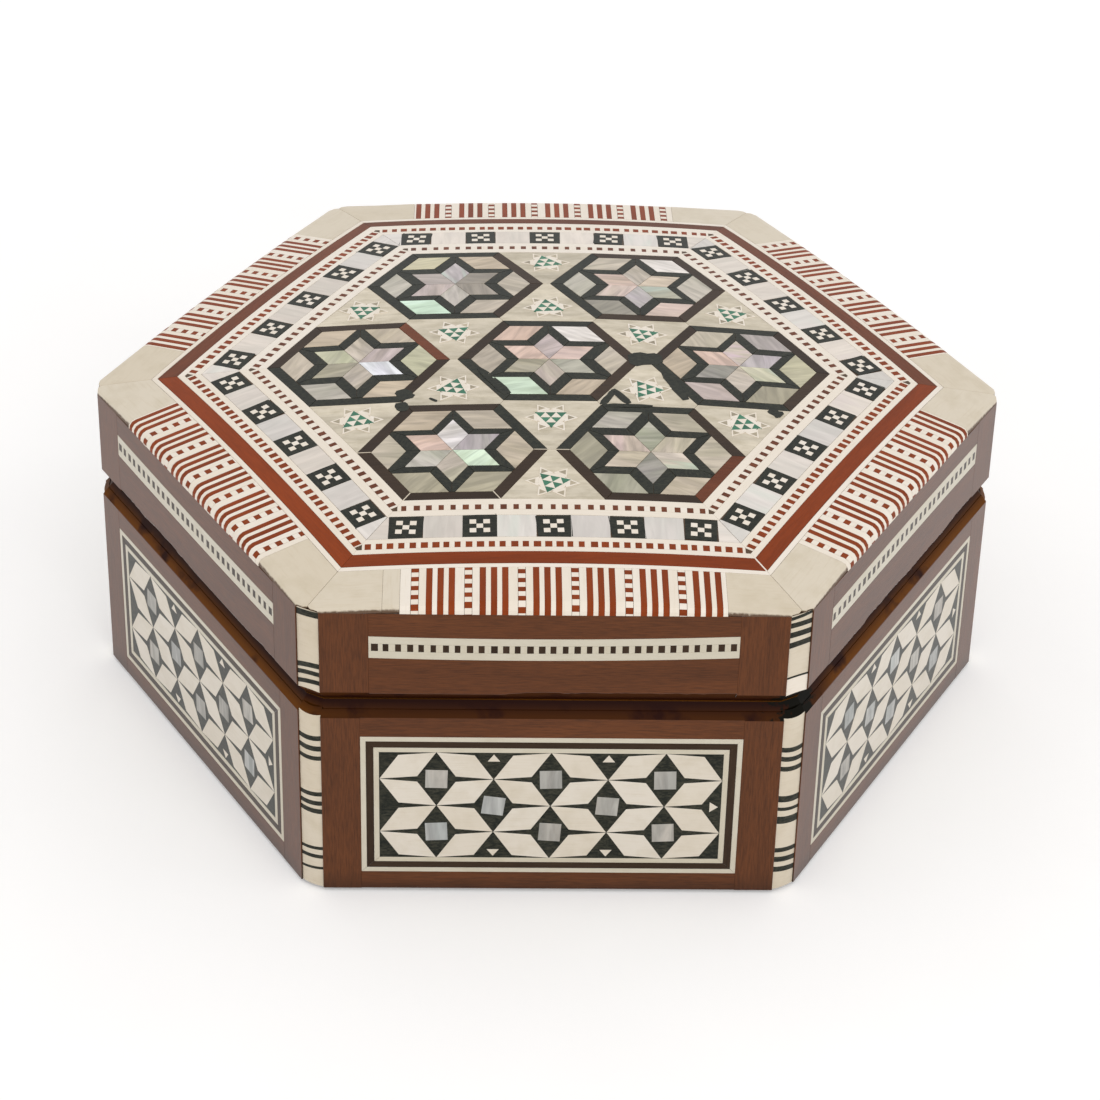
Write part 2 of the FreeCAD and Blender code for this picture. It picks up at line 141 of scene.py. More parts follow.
class BOX_PG_colours(bpy.types.PropertyGroup):
    """Colours of the woods, bone, pearl and cloth."""
    bone: colour("Bone", "Polished camel bone of plates, rhombs and corners", "#DACEBA")
    white_bone: colour("White bone", "Bleached bone of the lid's bands", "#EFE5D8")
    wall_bone: colour("Wall bone", "Greyed bone of the lines in the walls", "#CFC7B4")
    red_wood: colour("Red wood", "Stained red wood of the bands and bars", "#8A3A10")
    rosewood: colour("Rosewood", "Brown-red wood of the inner check strips", "#6E3A22")
    dark_wood: colour("Dark wood", "Dark brown wood of lines and hexagon frames", "#3B2C20")
    black_wood: colour("Black wood", "Black stained wood", "#20231E")
    veneer: colour("Veneer", "Brown mahogany veneer of the walls", "#63371A")
    core: colour("Core wood", "Varnished ochre wood of the walls and boards", "#7A4A14")
    green: colour("Green bone", "Bone dyed green in the small stars", "#457A62")
    velvet: colour("Velvet", "Cloth of the lining", "#6B1220")
    felt: colour("Felt", "Cloth under the box", "#20382A")
    brass: colour("Brass", "Brass of the hinges", "#B08D4A")


def sizes():
    """Sizes as the user has set them."""
    return bpy.context.scene.inlaid_box_sizes


def colours():
    """Colours as the user has set them."""
    return bpy.context.scene.inlaid_box_colours


def inlay():
    """Half the glue line, the bevel and the thickness of a piece of inlay."""
    return sizes().joint / 2, sizes().sunk, sizes().inlay


def wall_top():
    """Top of the lid's veneer and corner strips, a little under the inlay of its edge."""
    return sizes().lid_wall_top + 0.1 * MM


# Surfaces: a flat point (u to the right, v up or inwards) and a depth give a place in space

def turned(points, turns):
    """Points turned about the upright axis, a sixth of a circle to each turn."""
    angle = np.asarray(turns) * math.pi / 3
    x, y, z = np.moveaxis(points, -1, 0)
    return np.stack([np.cos(angle) * x - np.sin(angle) * y, np.sin(angle) * x + np.cos(angle) * y, z], -1)


def crown_radius():
    """Radius of the ball through the apex and the lid's corners: (reach^2 + drop^2) / (2 drop)."""
    drop = sizes().corner_drop
    return (CORNER ** 2 + drop ** 2) / (2 * drop)


def on_crown(flat, depth):
    """Ball of the crown above a plan point, sunk by depth along the ball's radius."""
    radius = crown_radius()
    x, y = flat[..., 0], flat[..., 1]
    keep = 1 - depth / radius
    rise = np.sqrt(radius ** 2 - x ** 2 - y ** 2)
    return np.stack([x * keep, y * keep, APEX - radius + rise * keep], -1)


def edge_circle(u):
    """Rounding along the lid's edge at u: the ball's section there, the circle's radius and its start angle.

    A circle that touches the ball's section at u inside and the wall's plane outside; its radius is the
    crown's height over the straight top of the wall.
    """
    section = np.sqrt(crown_radius() ** 2 - u ** 2)
    radius = np.sqrt(section ** 2 - FLAT ** 2) + APEX - crown_radius() - sizes().lid_wall_top
    angle = np.arcsin((FLAT - radius) / (section - radius))
    return section, radius, angle


def over_edge(flat, depth):
    """Crown out to the rounding, then round the edge circle for the rest of the way, then straight down."""
    u, s = flat[..., 0], -flat[..., 1]
    section, radius, start = edge_circle(u)
    inner = on_crown(np.stack([u, -np.minimum(s, section * np.sin(start))], -1), depth)
    run = start + np.maximum(s - section * np.sin(start), 0) / radius
    angle = np.minimum(run, math.pi / 2)
    pivot = APEX - crown_radius() + (section - radius) * np.cos(start)
    out = FLAT - radius + (radius - depth) * np.sin(angle)
    height = pivot + (radius - depth) * np.cos(angle) - np.maximum(run - math.pi / 2, 0) * radius
    rolled = np.stack([u, -out, height], -1)
    return np.where((run > start)[..., None], rolled, inner)


def edge_end(u, below=0.25 * MM):
    """Distance along over_edge at which it has passed the vertical by a little."""
    section, radius, start = edge_circle(u)
    return section * np.sin(start) + radius * (math.pi / 2 - start) + below


def half_width(distance):
    """Half the lid's width on one side at a distance from the axis: to the mitre, or to the blunt corner."""
    return np.minimum(distance * TAN30, (CORNER - distance * COS30) * 2)


def on_wall(flat, depth, distance, half, edge, far, slope, bulge=0.0):
    """Upright face at a distance from the axis; deeper points lean with the seam's groove and the mitres.

    Depth also grows by bulge times the square of the share of the half width, which rounds a corner strip.
    """
    u, z = flat[..., 0], flat[..., 1]
    depth = depth + bulge * (u / half) ** 2
    lean = slope * depth * (z - far) / (edge - far)
    return np.stack([u * (1 - TAN15 * depth / half), depth - distance, z + lean], -1)


BASE_WALL = {"edge": BASE_EDGE, "far": FOOT, "slope": GROOVE_SLOPE}
LID_WALL = {"edge": LID_EDGE, "far": APEX, "slope": -GROOVE_SLOPE}
BLUNT = {"distance": CORNER, "half": CORNER_HALF, "bulge": CORNER_ROUND}
on_base, on_lid = (partial(on_wall, distance=FLAT, half=HALF_FLAT, **wall) for wall in (BASE_WALL, LID_WALL))
on_base_corner, on_lid_corner = (partial(on_wall, **BLUNT, **wall) for wall in (BASE_WALL, LID_WALL))


def facing_in(flat, depth, distance):
    """Inner face of a wall seen from the axis, deeper towards the wall."""
    return np.stack([-flat[..., 0], -distance - depth, flat[..., 1]], -1)


def facing_up(flat, depth, height):
    """Level face, deeper downwards."""
    return np.stack([flat[..., 0], flat[..., 1], height - depth], -1)


def facing_down(flat, depth, height):
    """Level face seen from below, deeper upwards."""
    return np.stack([flat[..., 0], -flat[..., 1], height + depth], -1)


# Flat outlines

def inset(outlines, distance):
    """Outlines drawn in by a distance: each corner moves along the sum of its two edges' inward normals."""
    edge = np.roll(outlines, -1, axis=-2) - outlines
    edge = edge / np.linalg.norm(edge, axis=-1, keepdims=True)
    normal = np.stack([-edge[..., 1], edge[..., 0]], -1)
    before = np.roll(normal, 1, axis=-2)
    meet = 1 + np.sum(normal * before, -1, keepdims=True)
    return outlines + distance * (normal + before) / meet


def rectangles(left, low, right, high):
    """Upright rectangles, counter-clockwise."""
    ends = (np.atleast_1d(np.asarray(value, float)) for value in (left, low, right, high))
    left, low, right, high = np.broadcast_arrays(*ends)
    corners = ((left, low), (right, low), (right, high), (left, high))
    return np.stack([np.stack(corner, -1) for corner in corners], 1)


def spun(outlines, degrees):
    """Outlines turned in their own plane about the origin."""
    cos, sin = np.cos(np.radians(degrees)), np.sin(np.radians(degrees))
    return outlines @ np.array([(cos, sin), (-sin, cos)])


def all_round(outline):
    """Six copies of an outline or a point, turned round the origin."""
    return np.stack([spun(outline, angle) for angle in SIXTHS])


def rays(radius, degrees):
    """Plan points at distances and angles from the origin."""
    radius, angle = np.broadcast_arrays(radius, np.radians(degrees))
    return np.stack([radius * np.cos(angle), radius * np.sin(angle)], -1)


def check_row(start, block, jitter, half, low, high, chance):
    """One row of a check strip as kinds and outlines: dark blocks, then the bone between and beside them."""
    left = start + chance.normal(0, jitter, len(start))
    right = left + block * chance.uniform(0.85, 1.15, len(start))
    for kind, first, last in ((1, left, right), (0, np.append(-half, right), np.append(left, half))):
        yield kind, rectangles(first, low, last, high)


# Shells: closed solids from stacks of rings

def at_depth(points, depth):
    """Flat points, all at one depth."""
    return np.concatenate([points, np.full(points.shape[:-1] + (1,), depth)], -1)


def tile(outlines, thickness, bevel, lift=0.0):
    """Rings of flat tiles: the outline at full depth, at the bevel, and drawn in at the face."""
    rings = ((outlines, thickness), (outlines, lift + bevel), (inset(outlines, bevel), lift))
    return np.stack([at_depth(*ring) for ring in rings], 1)


def inlaid(outlines, share=1.0):
    """Rings of pieces of inlay, each drawn in by a share of half the glue line."""
    joint, bevel, thick = inlay()
    return tile(inset(outlines, joint * share), thick, bevel)


def strip(left, right, thickness, bevel, lift=0.0):
    """Rings of strips: at each station a low box section between the left and right line."""
    across = (left - right) / np.linalg.norm(left - right, axis=-1, keepdims=True) * bevel
    section = ((left, thickness), (left, lift + bevel), (left - across, lift),
               (right + across, lift), (right, lift + bevel), (right, thickness))
    return np.stack([at_depth(*point) for point in section], 2)


def along(u_left, u_right, v_left, v_right, stations):
    """Strips along u: left is the higher line. Each argument holds a start and an end for each strip."""
    share = np.linspace(0, 1, stations)
    ends = (np.asarray(a, float).reshape(-1, 2) for a in (u_left, u_right, v_left, v_right))
    u_left, u_right, v_left, v_right = (a[:, :1] + (a[:, 1:] - a[:, :1]) * share for a in ends)
    return np.stack([u_left, v_left], -1), np.stack([u_right, v_right], -1)


def level(half, tops, lows, stations):
    """Strips from -half to half; each one's upper and lower height is one number, or two for its ends."""
    wide = [[-half, half]] * len(tops)
    tops, lows = (np.broadcast_to(np.reshape(a, (len(a), -1)), (len(a), 2)) for a in (tops, lows))
    return along(wide, wide, tops, lows, stations)


def outward(u, v, stations):
    """Strips that run down v, from the first to the second v, between a low and a high u."""
    u = np.asarray(u, float).reshape(-1, 2)
    return along(u[:, [1, 1]], u[:, [0, 0]], v, v, stations)


def six(rings):
    """Rings of one side repeated on all six, and each copy's turns."""
    return np.concatenate([rings] * 6), np.repeat(np.arange(6), len(rings))


def shells(rings, surface, turns=0, material=0, grain=0.0, seed=0, worn=0.0, tint=(1, 1, 1, 1)):
    """Closed solids from rings (u, v, depth): quads from ring to ring, both ends capped.

    Each gets its own shade and its own stretch of the material, in millimetres along the grain, which runs
    at an angle to u. What is sunk below the face or worn, in millimetres, is where dirt gathers. material is
    one number, or one for each side of the section and then the two ends. tint is a colour, or one for each
    solid.
    """
    count, levels, around = rings.shape[:3]
    chance = np.random.default_rng(seed)
    turns = np.reshape(np.broadcast_to(turns, (count,)), (-1, 1, 1))
    points = turned(surface(rings[..., :2], rings[..., 2]), turns)
    index = np.arange(count * levels * around).reshape(count, levels, around)
    after = np.roll(index, -1, axis=2)
    quads = np.stack([index[:, :-1], after[:, :-1], after[:, 1:], index[:, 1:]], -1).reshape(count, -1, 4)
    caps = np.stack([index[:, 0, ::-1], index[:, -1]], 1)
    angle = np.reshape(np.radians(np.broadcast_to(grain, (count,))), (-1, 1, 1))
    u, v, depth = np.moveaxis(rings, -1, 0)
    flat = np.stack([np.cos(angle) * u + np.sin(angle) * v, np.cos(angle) * v - np.sin(angle) * u, depth], -1)
    place = flat / MM + chance.uniform(0, 400, (count, 1, 1, 3))
    shade = chance.uniform(0, 1, count)
    kinds = np.broadcast_to(material, (around + 2,))
    tints = np.broadcast_to(tint, (count, 4))
    return {"points": points.reshape(-1, 3), "place": place.reshape(-1, 3),
            "sunk": (depth / MM + worn).ravel(),
            "faces": quads.reshape(-1, 4).tolist() + caps.reshape(-1, around).tolist(),
            "shade": np.concatenate([np.repeat(shade, quads.shape[1]), np.repeat(shade, 2)]),
            "tint": np.concatenate([np.repeat(tints, quads.shape[1], 0), np.repeat(tints, 2, 0)]),
            "material": np.concatenate([np.tile(kinds[:-2], count * (levels - 1)),
                                        np.tile(kinds[-2:], count)])}


def six_shells(rings, surface, **options):
    """Shells of one side's rings on all six sides."""
    rings, turns = six(rings)
    return shells(rings, surface, turns, **options)


# Mesh attributes of the shells: name, type, domain and the field that holds the value.
ATTRIBUTES = (("place", "FLOAT_VECTOR", "POINT", "vector"), ("sunk", "FLOAT", "POINT", "value"),
              ("shade", "FLOAT", "FACE", "value"), ("tint", "FLOAT_COLOR", "FACE", "color"))


def make_piece(name, patches, materials, body, nodes=(), sharp=20):
    """One mesh of all the patches' shells, riding on a body and standing for CAD nodes.

    The materials are given as their functions. Edges that turn by more than the angle sharp, in degrees, are
    not smoothed.
    """
    starts = np.cumsum([0] + [len(p["points"]) for p in patches])
    faces = [[i + int(start) for i in face] for p, start in zip(patches, starts) for face in p["faces"]]
    mesh = bpy.data.meshes.new(name)
    mesh.from_pydata(np.concatenate([p["points"] for p in patches]).tolist(), [], faces)
    dress(mesh, *materials)
    for key, kind, domain, field in ATTRIBUTES:
        values = np.concatenate([p[key] for p in patches]).astype(np.float32)
        mesh.attributes.new(key, kind, domain).data.foreach_set(field, values.ravel())
    numbers = np.concatenate([p["material"] for p in patches]).astype(np.int32)
    mesh.polygons.foreach_set("material_index", numbers)
    mesh.polygons.foreach_set("use_smooth", np.ones(len(faces), bool))
    mesh.set_sharp_from_angle(angle=math.radians(sharp))
    piece = bpy.data.objects.new(name, mesh)
    bpy.context.scene.collection.objects.link(piece)
    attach(piece, body)
    if nodes:
        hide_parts(*nodes)
    return piece


# Materials

def add(tree, kind, inputs, **settings):
    """Adds a shader node with its settings; inputs, by name or number, are values or other nodes' sockets."""
    node = tree.nodes.new("ShaderNode" + kind)
    for name, value in settings.items():
        setattr(node, name, value)
    for key, value in inputs.items():
        if isinstance(value, bpy.types.NodeSocket):
            tree.links.new(value, node.inputs[key])
        else:
            node.inputs[key].default_value = value
    return node.outputs


def tinted(value, factor):
    """A colour times a number, for the darker and paler parts of a material."""
    return tuple(min(c * factor, 1.0) for c in value[:3]) + (1.0,)


def chosen(key):
    """Linear colour of an sRGB hex, or one of the box's colours by name."""
    return linear(key) if key.startswith("#") else tuple(getattr(colours(), key))


def pale(value):
    """Bone as the walls' panels have it: paler and less yellow."""
    return tinted((value[0], value[1] * 1.03, value[2] * 1.1), 1.05)


def polished_bone(tree, key, stain, lacquer=0.0, bleach=tuple):
    """Polished bone: faint vessels along it, cloudy stains of a strength, yellow and brown in the joints.

    lacquer is how much of a thin coat lies over it, which hazes at a slant; bleach changes the base colour.
    """
    base = bleach(chosen(key))

    def aged(green, blue, factor):
        """Base colour with less green and blue, and darker."""
        return tinted((base[0], base[1] * green, base[2] * blue), factor)

    place = add(tree, "Attribute", {}, attribute_name="place")["Vector"]
    shade, sunk = (add(tree, "Attribute", {}, attribute_name=name)["Fac"] for name in ("shade", "sunk"))
    # vessels of the bone: 4 mm long and 0.35 mm apart, coarser than life so that they show
    long = add(tree, "VectorMath", {0: place, 1: (1 / 4, 1 / 0.35, 1 / 0.35)}, operation="MULTIPLY")[0]
    vessels = add(tree, "TexNoise", {"Vector": long, "Scale": 1.0, "Detail": 3.0})[0]
    cloud = add(tree, "TexNoise", {"Vector": place, "Scale": 1 / 4, "Detail": 5.0, "Roughness": 0.6})[0]
    lines = add(tree, "MapRange", {0: vessels, 1: 0.52, 2: 0.75, 4: 0.35})[0]
    blotch = add(tree, "MapRange", {0: cloud, 1: 0.45, 2: 0.75, 4: stain})[0]
    warm = add(tree, "Mix", {0: shade, 6: base, 7: aged(0.98, 0.94, 0.96)}, data_type="RGBA")[2]
    lined = add(tree, "Mix", {0: lines, 6: warm, 7: aged(0.93, 0.8, 0.82)}, data_type="RGBA")[2]
    stained = add(tree, "Mix", {0: blotch, 6: lined, 7: aged(0.95, 0.82, 0.78)}, data_type="RGBA")[2]
    # dirt along worn edges, ragged at about 0.7 mm
    crumb = add(tree, "TexNoise", {"Vector": place, "Scale": 1 / 0.7, "Detail": 4.0, "Roughness": 0.7})[0]
    ragged = add(tree, "Math", {0: sunk, 1: crumb}, operation="MULTIPLY")[0]
    deep = add(tree, "MapRange", {0: ragged, 1: 0.04, 2: 0.14})[0]
    final = add(tree, "Mix", {0: deep, 6: stained, 7: linear("#5A4028")}, data_type="RGBA")[2]
    relief = add(tree, "Bump", {"Strength": 0.3, "Distance": 0.02 * MM, "Height": vessels})[0]
    return add(tree, "BsdfPrincipled", {"Base Color": final, "Roughness": 0.38, "IOR": 1.54, "Normal": relief,
                                        "Specular IOR Level": 0.45, "Coat Weight": lacquer, "Coat IOR": 1.35,
                                        "Coat Roughness": 0.4})[0]


def mother_of_pearl(tree, cool, warm, dark, spread, flash, few):
    """Mother of pearl: growth streaks over soft clouds of two cool and two warm tints, some with a flash.

    Each plate leans to cool or warm and has its own brightness, between the two numbers of spread; dark is
    the least and most of the streaks, flash how strong the mint and pink flashes are, and few the share of
    plates without them.
    """
    place = add(tree, "Attribute", {}, attribute_name="place")["Vector"]
    shade = add(tree, "Attribute", {}, attribute_name="shade")["Fac"]
    tint = add(tree, "Attribute", {}, attribute_name="tint")["Color"]
    # growth lines of the shell: 8 mm long and 1.4 mm apart, over clouds of 14 by 4 mm
    flow = add(tree, "VectorMath", {0: place, 1: (1 / 8, 1 / 1.4, 1 / 1.4)}, operation="MULTIPLY")[0]
    streak = add(tree, "TexNoise", {"Vector": flow, "Scale": 1.0, "Detail": 4.0, "Distortion": 0.8})[0]
    broad = add(tree, "VectorMath", {0: place, 1: (1 / 14, 1 / 4, 1 / 4)}, operation="MULTIPLY")[0]
    cloud = add(tree, "TexNoise", {"Vector": broad, "Scale": 1.0, "Detail": 2.0, "Distortion": 0.5})[0]
    mixed = add(tree, "MapRange", {0: cloud, 1: 0.38, 2: 0.62})[0]
    cooler, warmer = (add(tree, "Mix", {0: mixed, 6: linear(first), 7: linear(second)}, data_type="RGBA")[2]
                      for first, second in (cool, warm))
    lean = add(tree, "MapRange", {0: shade, 1: 0.35, 2: 0.65})[0]
    hue = add(tree, "Mix", {0: lean, 6: cooler, 7: warmer}, data_type="RGBA")[2]
    own_hue = add(tree, "Mix", {0: 1.0, 6: hue, 7: tint}, data_type="RGBA", blend_type="MULTIPLY")[2]
    # a second number of each plate's own, from the digits of its shade
    many = add(tree, "Math", {0: shade, 1: 13.0}, operation="MULTIPLY")[0]
    other = add(tree, "Math", {0: many}, operation="FRACT")[0]
    own = add(tree, "MapRange", {0: other, 3: spread[0], 4: spread[1]})[0]
    lines = add(tree, "MapRange", {0: streak, 1: 0.35, 2: 0.68, 3: dark[0], 4: dark[1]})[0]
    light = add(tree, "Math", {0: own, 1: lines}, operation="MULTIPLY")[0]
    plain = add(tree, "VectorMath", {0: own_hue, "Scale": light}, operation="SCALE")[0]
    flashing = add(tree, "MapRange", {0: other, 1: few, 2: few + 0.1, 4: flash})[0]
    glint = add(tree, "MapRange", {0: cloud, 1: 0.5, 2: 0.64})[0]
    amount = add(tree, "Math", {0: flashing, 1: glint}, operation="MULTIPLY")[0]
    bright = add(tree, "Mix", {0: lean, 6: linear("#C4F0D8"), 7: linear("#F0CFE4")}, data_type="RGBA")[2]
    final = add(tree, "Mix", {0: amount, 6: plain, 7: bright}, data_type="RGBA")[2]
    relief = add(tree, "Bump", {"Strength": 0.25, "Distance": 0.02 * MM, "Height": streak})[0]
    return add(tree, "BsdfPrincipled", {"Base Color": final, "Roughness": 0.25, "IOR": 1.56, "Normal": relief,
                                        "Specular IOR Level": 0.4})[0]


def grained_wood(tree, key, pore, grain, contrast, lean=0.06, ior=1.45, gloss=0.2, haze=0.0,
                 grime="#24100A"):
    """Straight-grained wood: dark pores of a length and width in mm, slow changes of tone, grimy joints.

    pore is a hex colour, or a share of the wood's own. Tone also leans from piece to piece, what is sunk
    below the face goes to the colour of the grime, and haze is the dusty sheen of an old finish seen at a
    slant.
    """
    base = chosen(key)
    pore = chosen(pore) if isinstance(pore, str) else tinted(base, pore)
    place = add(tree, "Attribute", {}, attribute_name="place")["Vector"]
    shade, sunk = (add(tree, "Attribute", {}, attribute_name=name)["Fac"] for name in ("shade", "sunk"))
    long, wide = grain
    fibre = add(tree, "VectorMath", {0: place, 1: (1 / long, 1 / wide, 1 / wide)}, operation="MULTIPLY")[0]
    pores = add(tree, "TexNoise", {"Vector": fibre, "Scale": 1.0, "Detail": 4.0, "Roughness": 0.65})[0]
    # figure of the board: 25 mm long and 4 mm wide
    slow = add(tree, "VectorMath", {0: place, 1: (1 / 25, 1 / 4, 1 / 4)}, operation="MULTIPLY")[0]
    figure = add(tree, "TexNoise", {"Vector": slow, "Scale": 1.0, "Detail": 3.0, "Distortion": 0.4})[0]
    streak = add(tree, "MapRange", {0: pores, 1: 0.4, 2: 0.7, 4: contrast})[0]
    lined = add(tree, "Mix", {0: streak, 6: base, 7: pore}, data_type="RGBA")[2]
    swell = add(tree, "MapRange", {0: figure, 1: 0.3, 2: 0.7, 3: 0.86, 4: 1.14})[0]
    own = add(tree, "MapRange", {0: shade, 3: 1 - lean, 4: 1 + lean})[0]
    tone = add(tree, "Math", {0: swell, 1: own}, operation="MULTIPLY")[0]
    toned = add(tree, "VectorMath", {0: lined, "Scale": tone}, operation="SCALE")[0]
    deep = add(tree, "MapRange", {0: sunk, 1: 0.06, 2: 0.35})[0]
    final = add(tree, "Mix", {0: deep, 6: toned, 7: linear(grime)}, data_type="RGBA")[2]
    relief = add(tree, "Bump", {"Strength": 0.4, "Distance": 0.03 * MM, "Height": pores})[0]
    return add(tree, "BsdfPrincipled", {"Base Color": final, "Roughness": 0.42, "Normal": relief, "IOR": ior,
                                        "Specular IOR Level": gloss, "Sheen Weight": haze,
                                        "Sheen Roughness": 0.3})[0]


def seam_distance(tree, spot):
    """Height above or below the seam."""
    height = add(tree, "SeparateXYZ", {0: spot})[2]
    above = add(tree, "Math", {0: height, 1: SEAM}, operation="SUBTRACT")[0]
    return add(tree, "Math", {0: above}, operation="ABSOLUTE")[0]


def seam_varnish(tree, spot):
    """Colour of the seam's groove: golden varnish towards its edge, going dark towards its bottom, partly old
    dark varnish and partly painted shade under the lid.

    Blotches of about 6 mm have run dark. Along the front wall painted shade of the lid's overhang darkens
    nearly all of it. Black dirt has gathered at the right front corner.
    """
    # painted shade: towards the seam, at the bottom of the groove, the colour goes dark
    golden = add(tree, "MapRange", {0: seam_distance(tree, spot), 1: 0.4 * MM, 2: 2.0 * MM})[0]
    blotch = add(tree, "TexNoise", {"Vector": spot, "Scale": 1 / (6 * MM), "Detail": 5.0})[0]
    clear = add(tree, "MapRange", {0: blotch, 1: 0.66, 2: 0.54})[0]
    # painted shade: along the front the groove lies in the lid's shadow and goes near black, reaching round
    # its right corner
    depth = add(tree, "VectorMath", {0: spot, 1: (-0.1, 1, 0)}, operation="DOT_PRODUCT")["Value"]
    side = add(tree, "MapRange", {0: depth, 1: -62 * MM, 2: -58 * MM, 3: 0.32})[0]
    part = add(tree, "Math", {0: golden, 1: clear}, operation="MULTIPLY")[0]
    amount = add(tree, "Math", {0: part, 1: side}, operation="MULTIPLY")[0]
    # dark old varnish with painted shade, and golden varnish, mixed by the painted shade above
    varnish = add(tree, "Mix", {0: amount, 6: linear("#260902"), 7: linear("#623606")}, data_type="RGBA")[2]
    # dirt within about 4 mm of the corner, ragged at 2 mm
    corner = (38 * MM, -64 * MM, SEAM)
    off = add(tree, "VectorMath", {0: spot, 1: corner}, operation="DISTANCE")["Value"]
    crumb = add(tree, "TexNoise", {"Vector": spot, "Scale": 1 / (2 * MM), "Detail": 5.0, "Roughness": 0.7})[0]
    ragged = add(tree, "Math", {0: crumb, 1: 15 * MM, 2: off}, operation="MULTIPLY_ADD")[0]
    dirt = add(tree, "MapRange", {0: ragged, 1: 12.4 * MM, 2: 11.2 * MM})[0]
    return add(tree, "Mix", {0: dirt, 6: varnish, 7: linear("#0D0B05")}, data_type="RGBA")[2]


def varnished_softwood(tree):
    """Walls and boards: ochre, soft rings under thin varnish, and old varnish with painted shade on the
    slopes of the seam.
    """
    base = chosen("core")
    spot = add(tree, "TexCoord", {})["Object"]
    # rings of the softwood: 2.5 mm apart, drawn out 30 mm along the board
    per_ring = (1 / (30 * MM), 1 / (30 * MM), 1 / (2.5 * MM))
    long = add(tree, "VectorMath", {0: spot, 1: per_ring}, operation="MULTIPLY")[0]
    rings = add(tree, "TexNoise", {"Vector": long, "Scale": 1.0, "Detail": 4.0, "Distortion": 0.5})[0]
    early = add(tree, "MapRange", {0: rings, 1: 0.35, 2: 0.65})[0]
    board = add(tree, "Mix", {0: early, 6: tinted(base, 0.7), 7: tinted(base, 1.25)}, data_type="RGBA")[2]
    # the slopes lie between the flat faces that meet at the seam and the edge of the groove
    apart = seam_distance(tree, spot)
    slope = add(tree, "MapRange", {0: apart, 1: 0.102 * MM, 2: 0.125 * MM})[0]
    inside = add(tree, "MapRange", {0: apart, 1: 2.6 * MM, 2: GROOVE})[0]
    groove = add(tree, "Math", {0: slope, 1: inside}, operation="MULTIPLY")[0]
    final = add(tree, "Mix", {0: groove, 6: board, 7: seam_varnish(tree, spot)}, data_type="RGBA")[2]
    relief = add(tree, "Bump", {"Strength": 0.4, "Distance": 0.05 * MM, "Height": rings})[0]
    return add(tree, "BsdfPrincipled", {"Base Color": final, "Roughness": 0.5, "Normal": relief,
                                        "Specular IOR Level": 0.08})[0]


def old_varnish(tree):
    """Edges of the veneer and corner strips in the groove: golden to black, old varnish with painted shade,
    dull.
    """
    spot = add(tree, "TexCoord", {})["Object"]
    return add(tree, "BsdfPrincipled", {"Base Color": seam_varnish(tree, spot), "Roughness": 0.6,
                                        "Specular IOR Level": 0.08})[0]


def short_pile(tree, key, fibre_size, sheen):
    """Short-piled cloth: fibres too fine to show, drawn as soft mottling, with a sheen at the edges."""
    base = chosen(key)
    place = add(tree, "Attribute", {}, attribute_name="place")["Vector"]
    pile = add(tree, "TexNoise", {"Vector": place, "Scale": 1 / fibre_size, "Detail": 3.0})[0]
    # where a finger has brushed the pile: soft stripes about 12 by 5 mm
    broad = add(tree, "VectorMath", {0: place, 1: (1 / 12, 1 / 5, 1 / 5)}, operation="MULTIPLY")[0]
    brushed = add(tree, "TexNoise", {"Vector": broad, "Scale": 1.0, "Detail": 1.0})[0]
    fleck = add(tree, "Mix", {0: pile, 6: tinted(base, 0.5), 7: tinted(base, 1.5)}, data_type="RGBA")[2]
    tone = add(tree, "MapRange", {0: brushed, 1: 0.35, 2: 0.65, 3: 0.88, 4: 1.12})[0]
    final = add(tree, "VectorMath", {0: fleck, "Scale": tone}, operation="SCALE")[0]
    relief = add(tree, "Bump", {"Strength": 0.6, "Distance": 0.1 * MM, "Height": pile})[0]
    return add(tree, "BsdfPrincipled", {"Base Color": final, "Roughness": 0.95, "Normal": relief,
                                        "Sheen Weight": sheen, "Sheen Roughness": 0.4,
                                        "Sheen Tint": tinted(base, 3.0), "Specular IOR Level": 0.1})[0]


def pressed_brass(tree):
    """Hinges and screws: yellow, scratches 6 mm long and 0.2 mm apart, dull patches of about 3 mm."""
    base = chosen("brass")
    spot = add(tree, "TexCoord", {})["Object"]
    per_scratch = (1 / (6 * MM), 1 / (0.2 * MM), 1 / (0.2 * MM))
    long = add(tree, "VectorMath", {0: spot, 1: per_scratch}, operation="MULTIPLY")[0]
    scratch = add(tree, "TexNoise", {"Vector": long, "Scale": 1.0, "Detail": 3.0})[0]
    cloud = add(tree, "TexNoise", {"Vector": spot, "Scale": 1 / (3 * MM), "Detail": 3.0})[0]
    patch = add(tree, "MapRange", {0: cloud, 1: 0.4, 2: 0.7})[0]
    final = add(tree, "Mix", {0: patch, 6: base, 7: tinted(base, 0.6)}, data_type="RGBA")[2]
    rough = add(tree, "MapRange", {0: scratch, 3: 0.22, 4: 0.5})[0]
    return add(tree, "BsdfPrincipled", {"Base Color": final, "Metallic": 1.0, "Roughness": rough})[0]


def seen(tree):
    """1 for what the camera sees, straight, mirrored or through glass, and 0 for light on other things."""
    path = add(tree, "LightPath", {})
    either = add(tree, "Math", {0: path["Is Camera Ray"], 1: path["Is Glossy Ray"]}, operation="MAXIMUM")[0]
    return add(tree, "Math", {0: either, 1: path["Is Transmission Ray"]}, operation="MAXIMUM")[0]


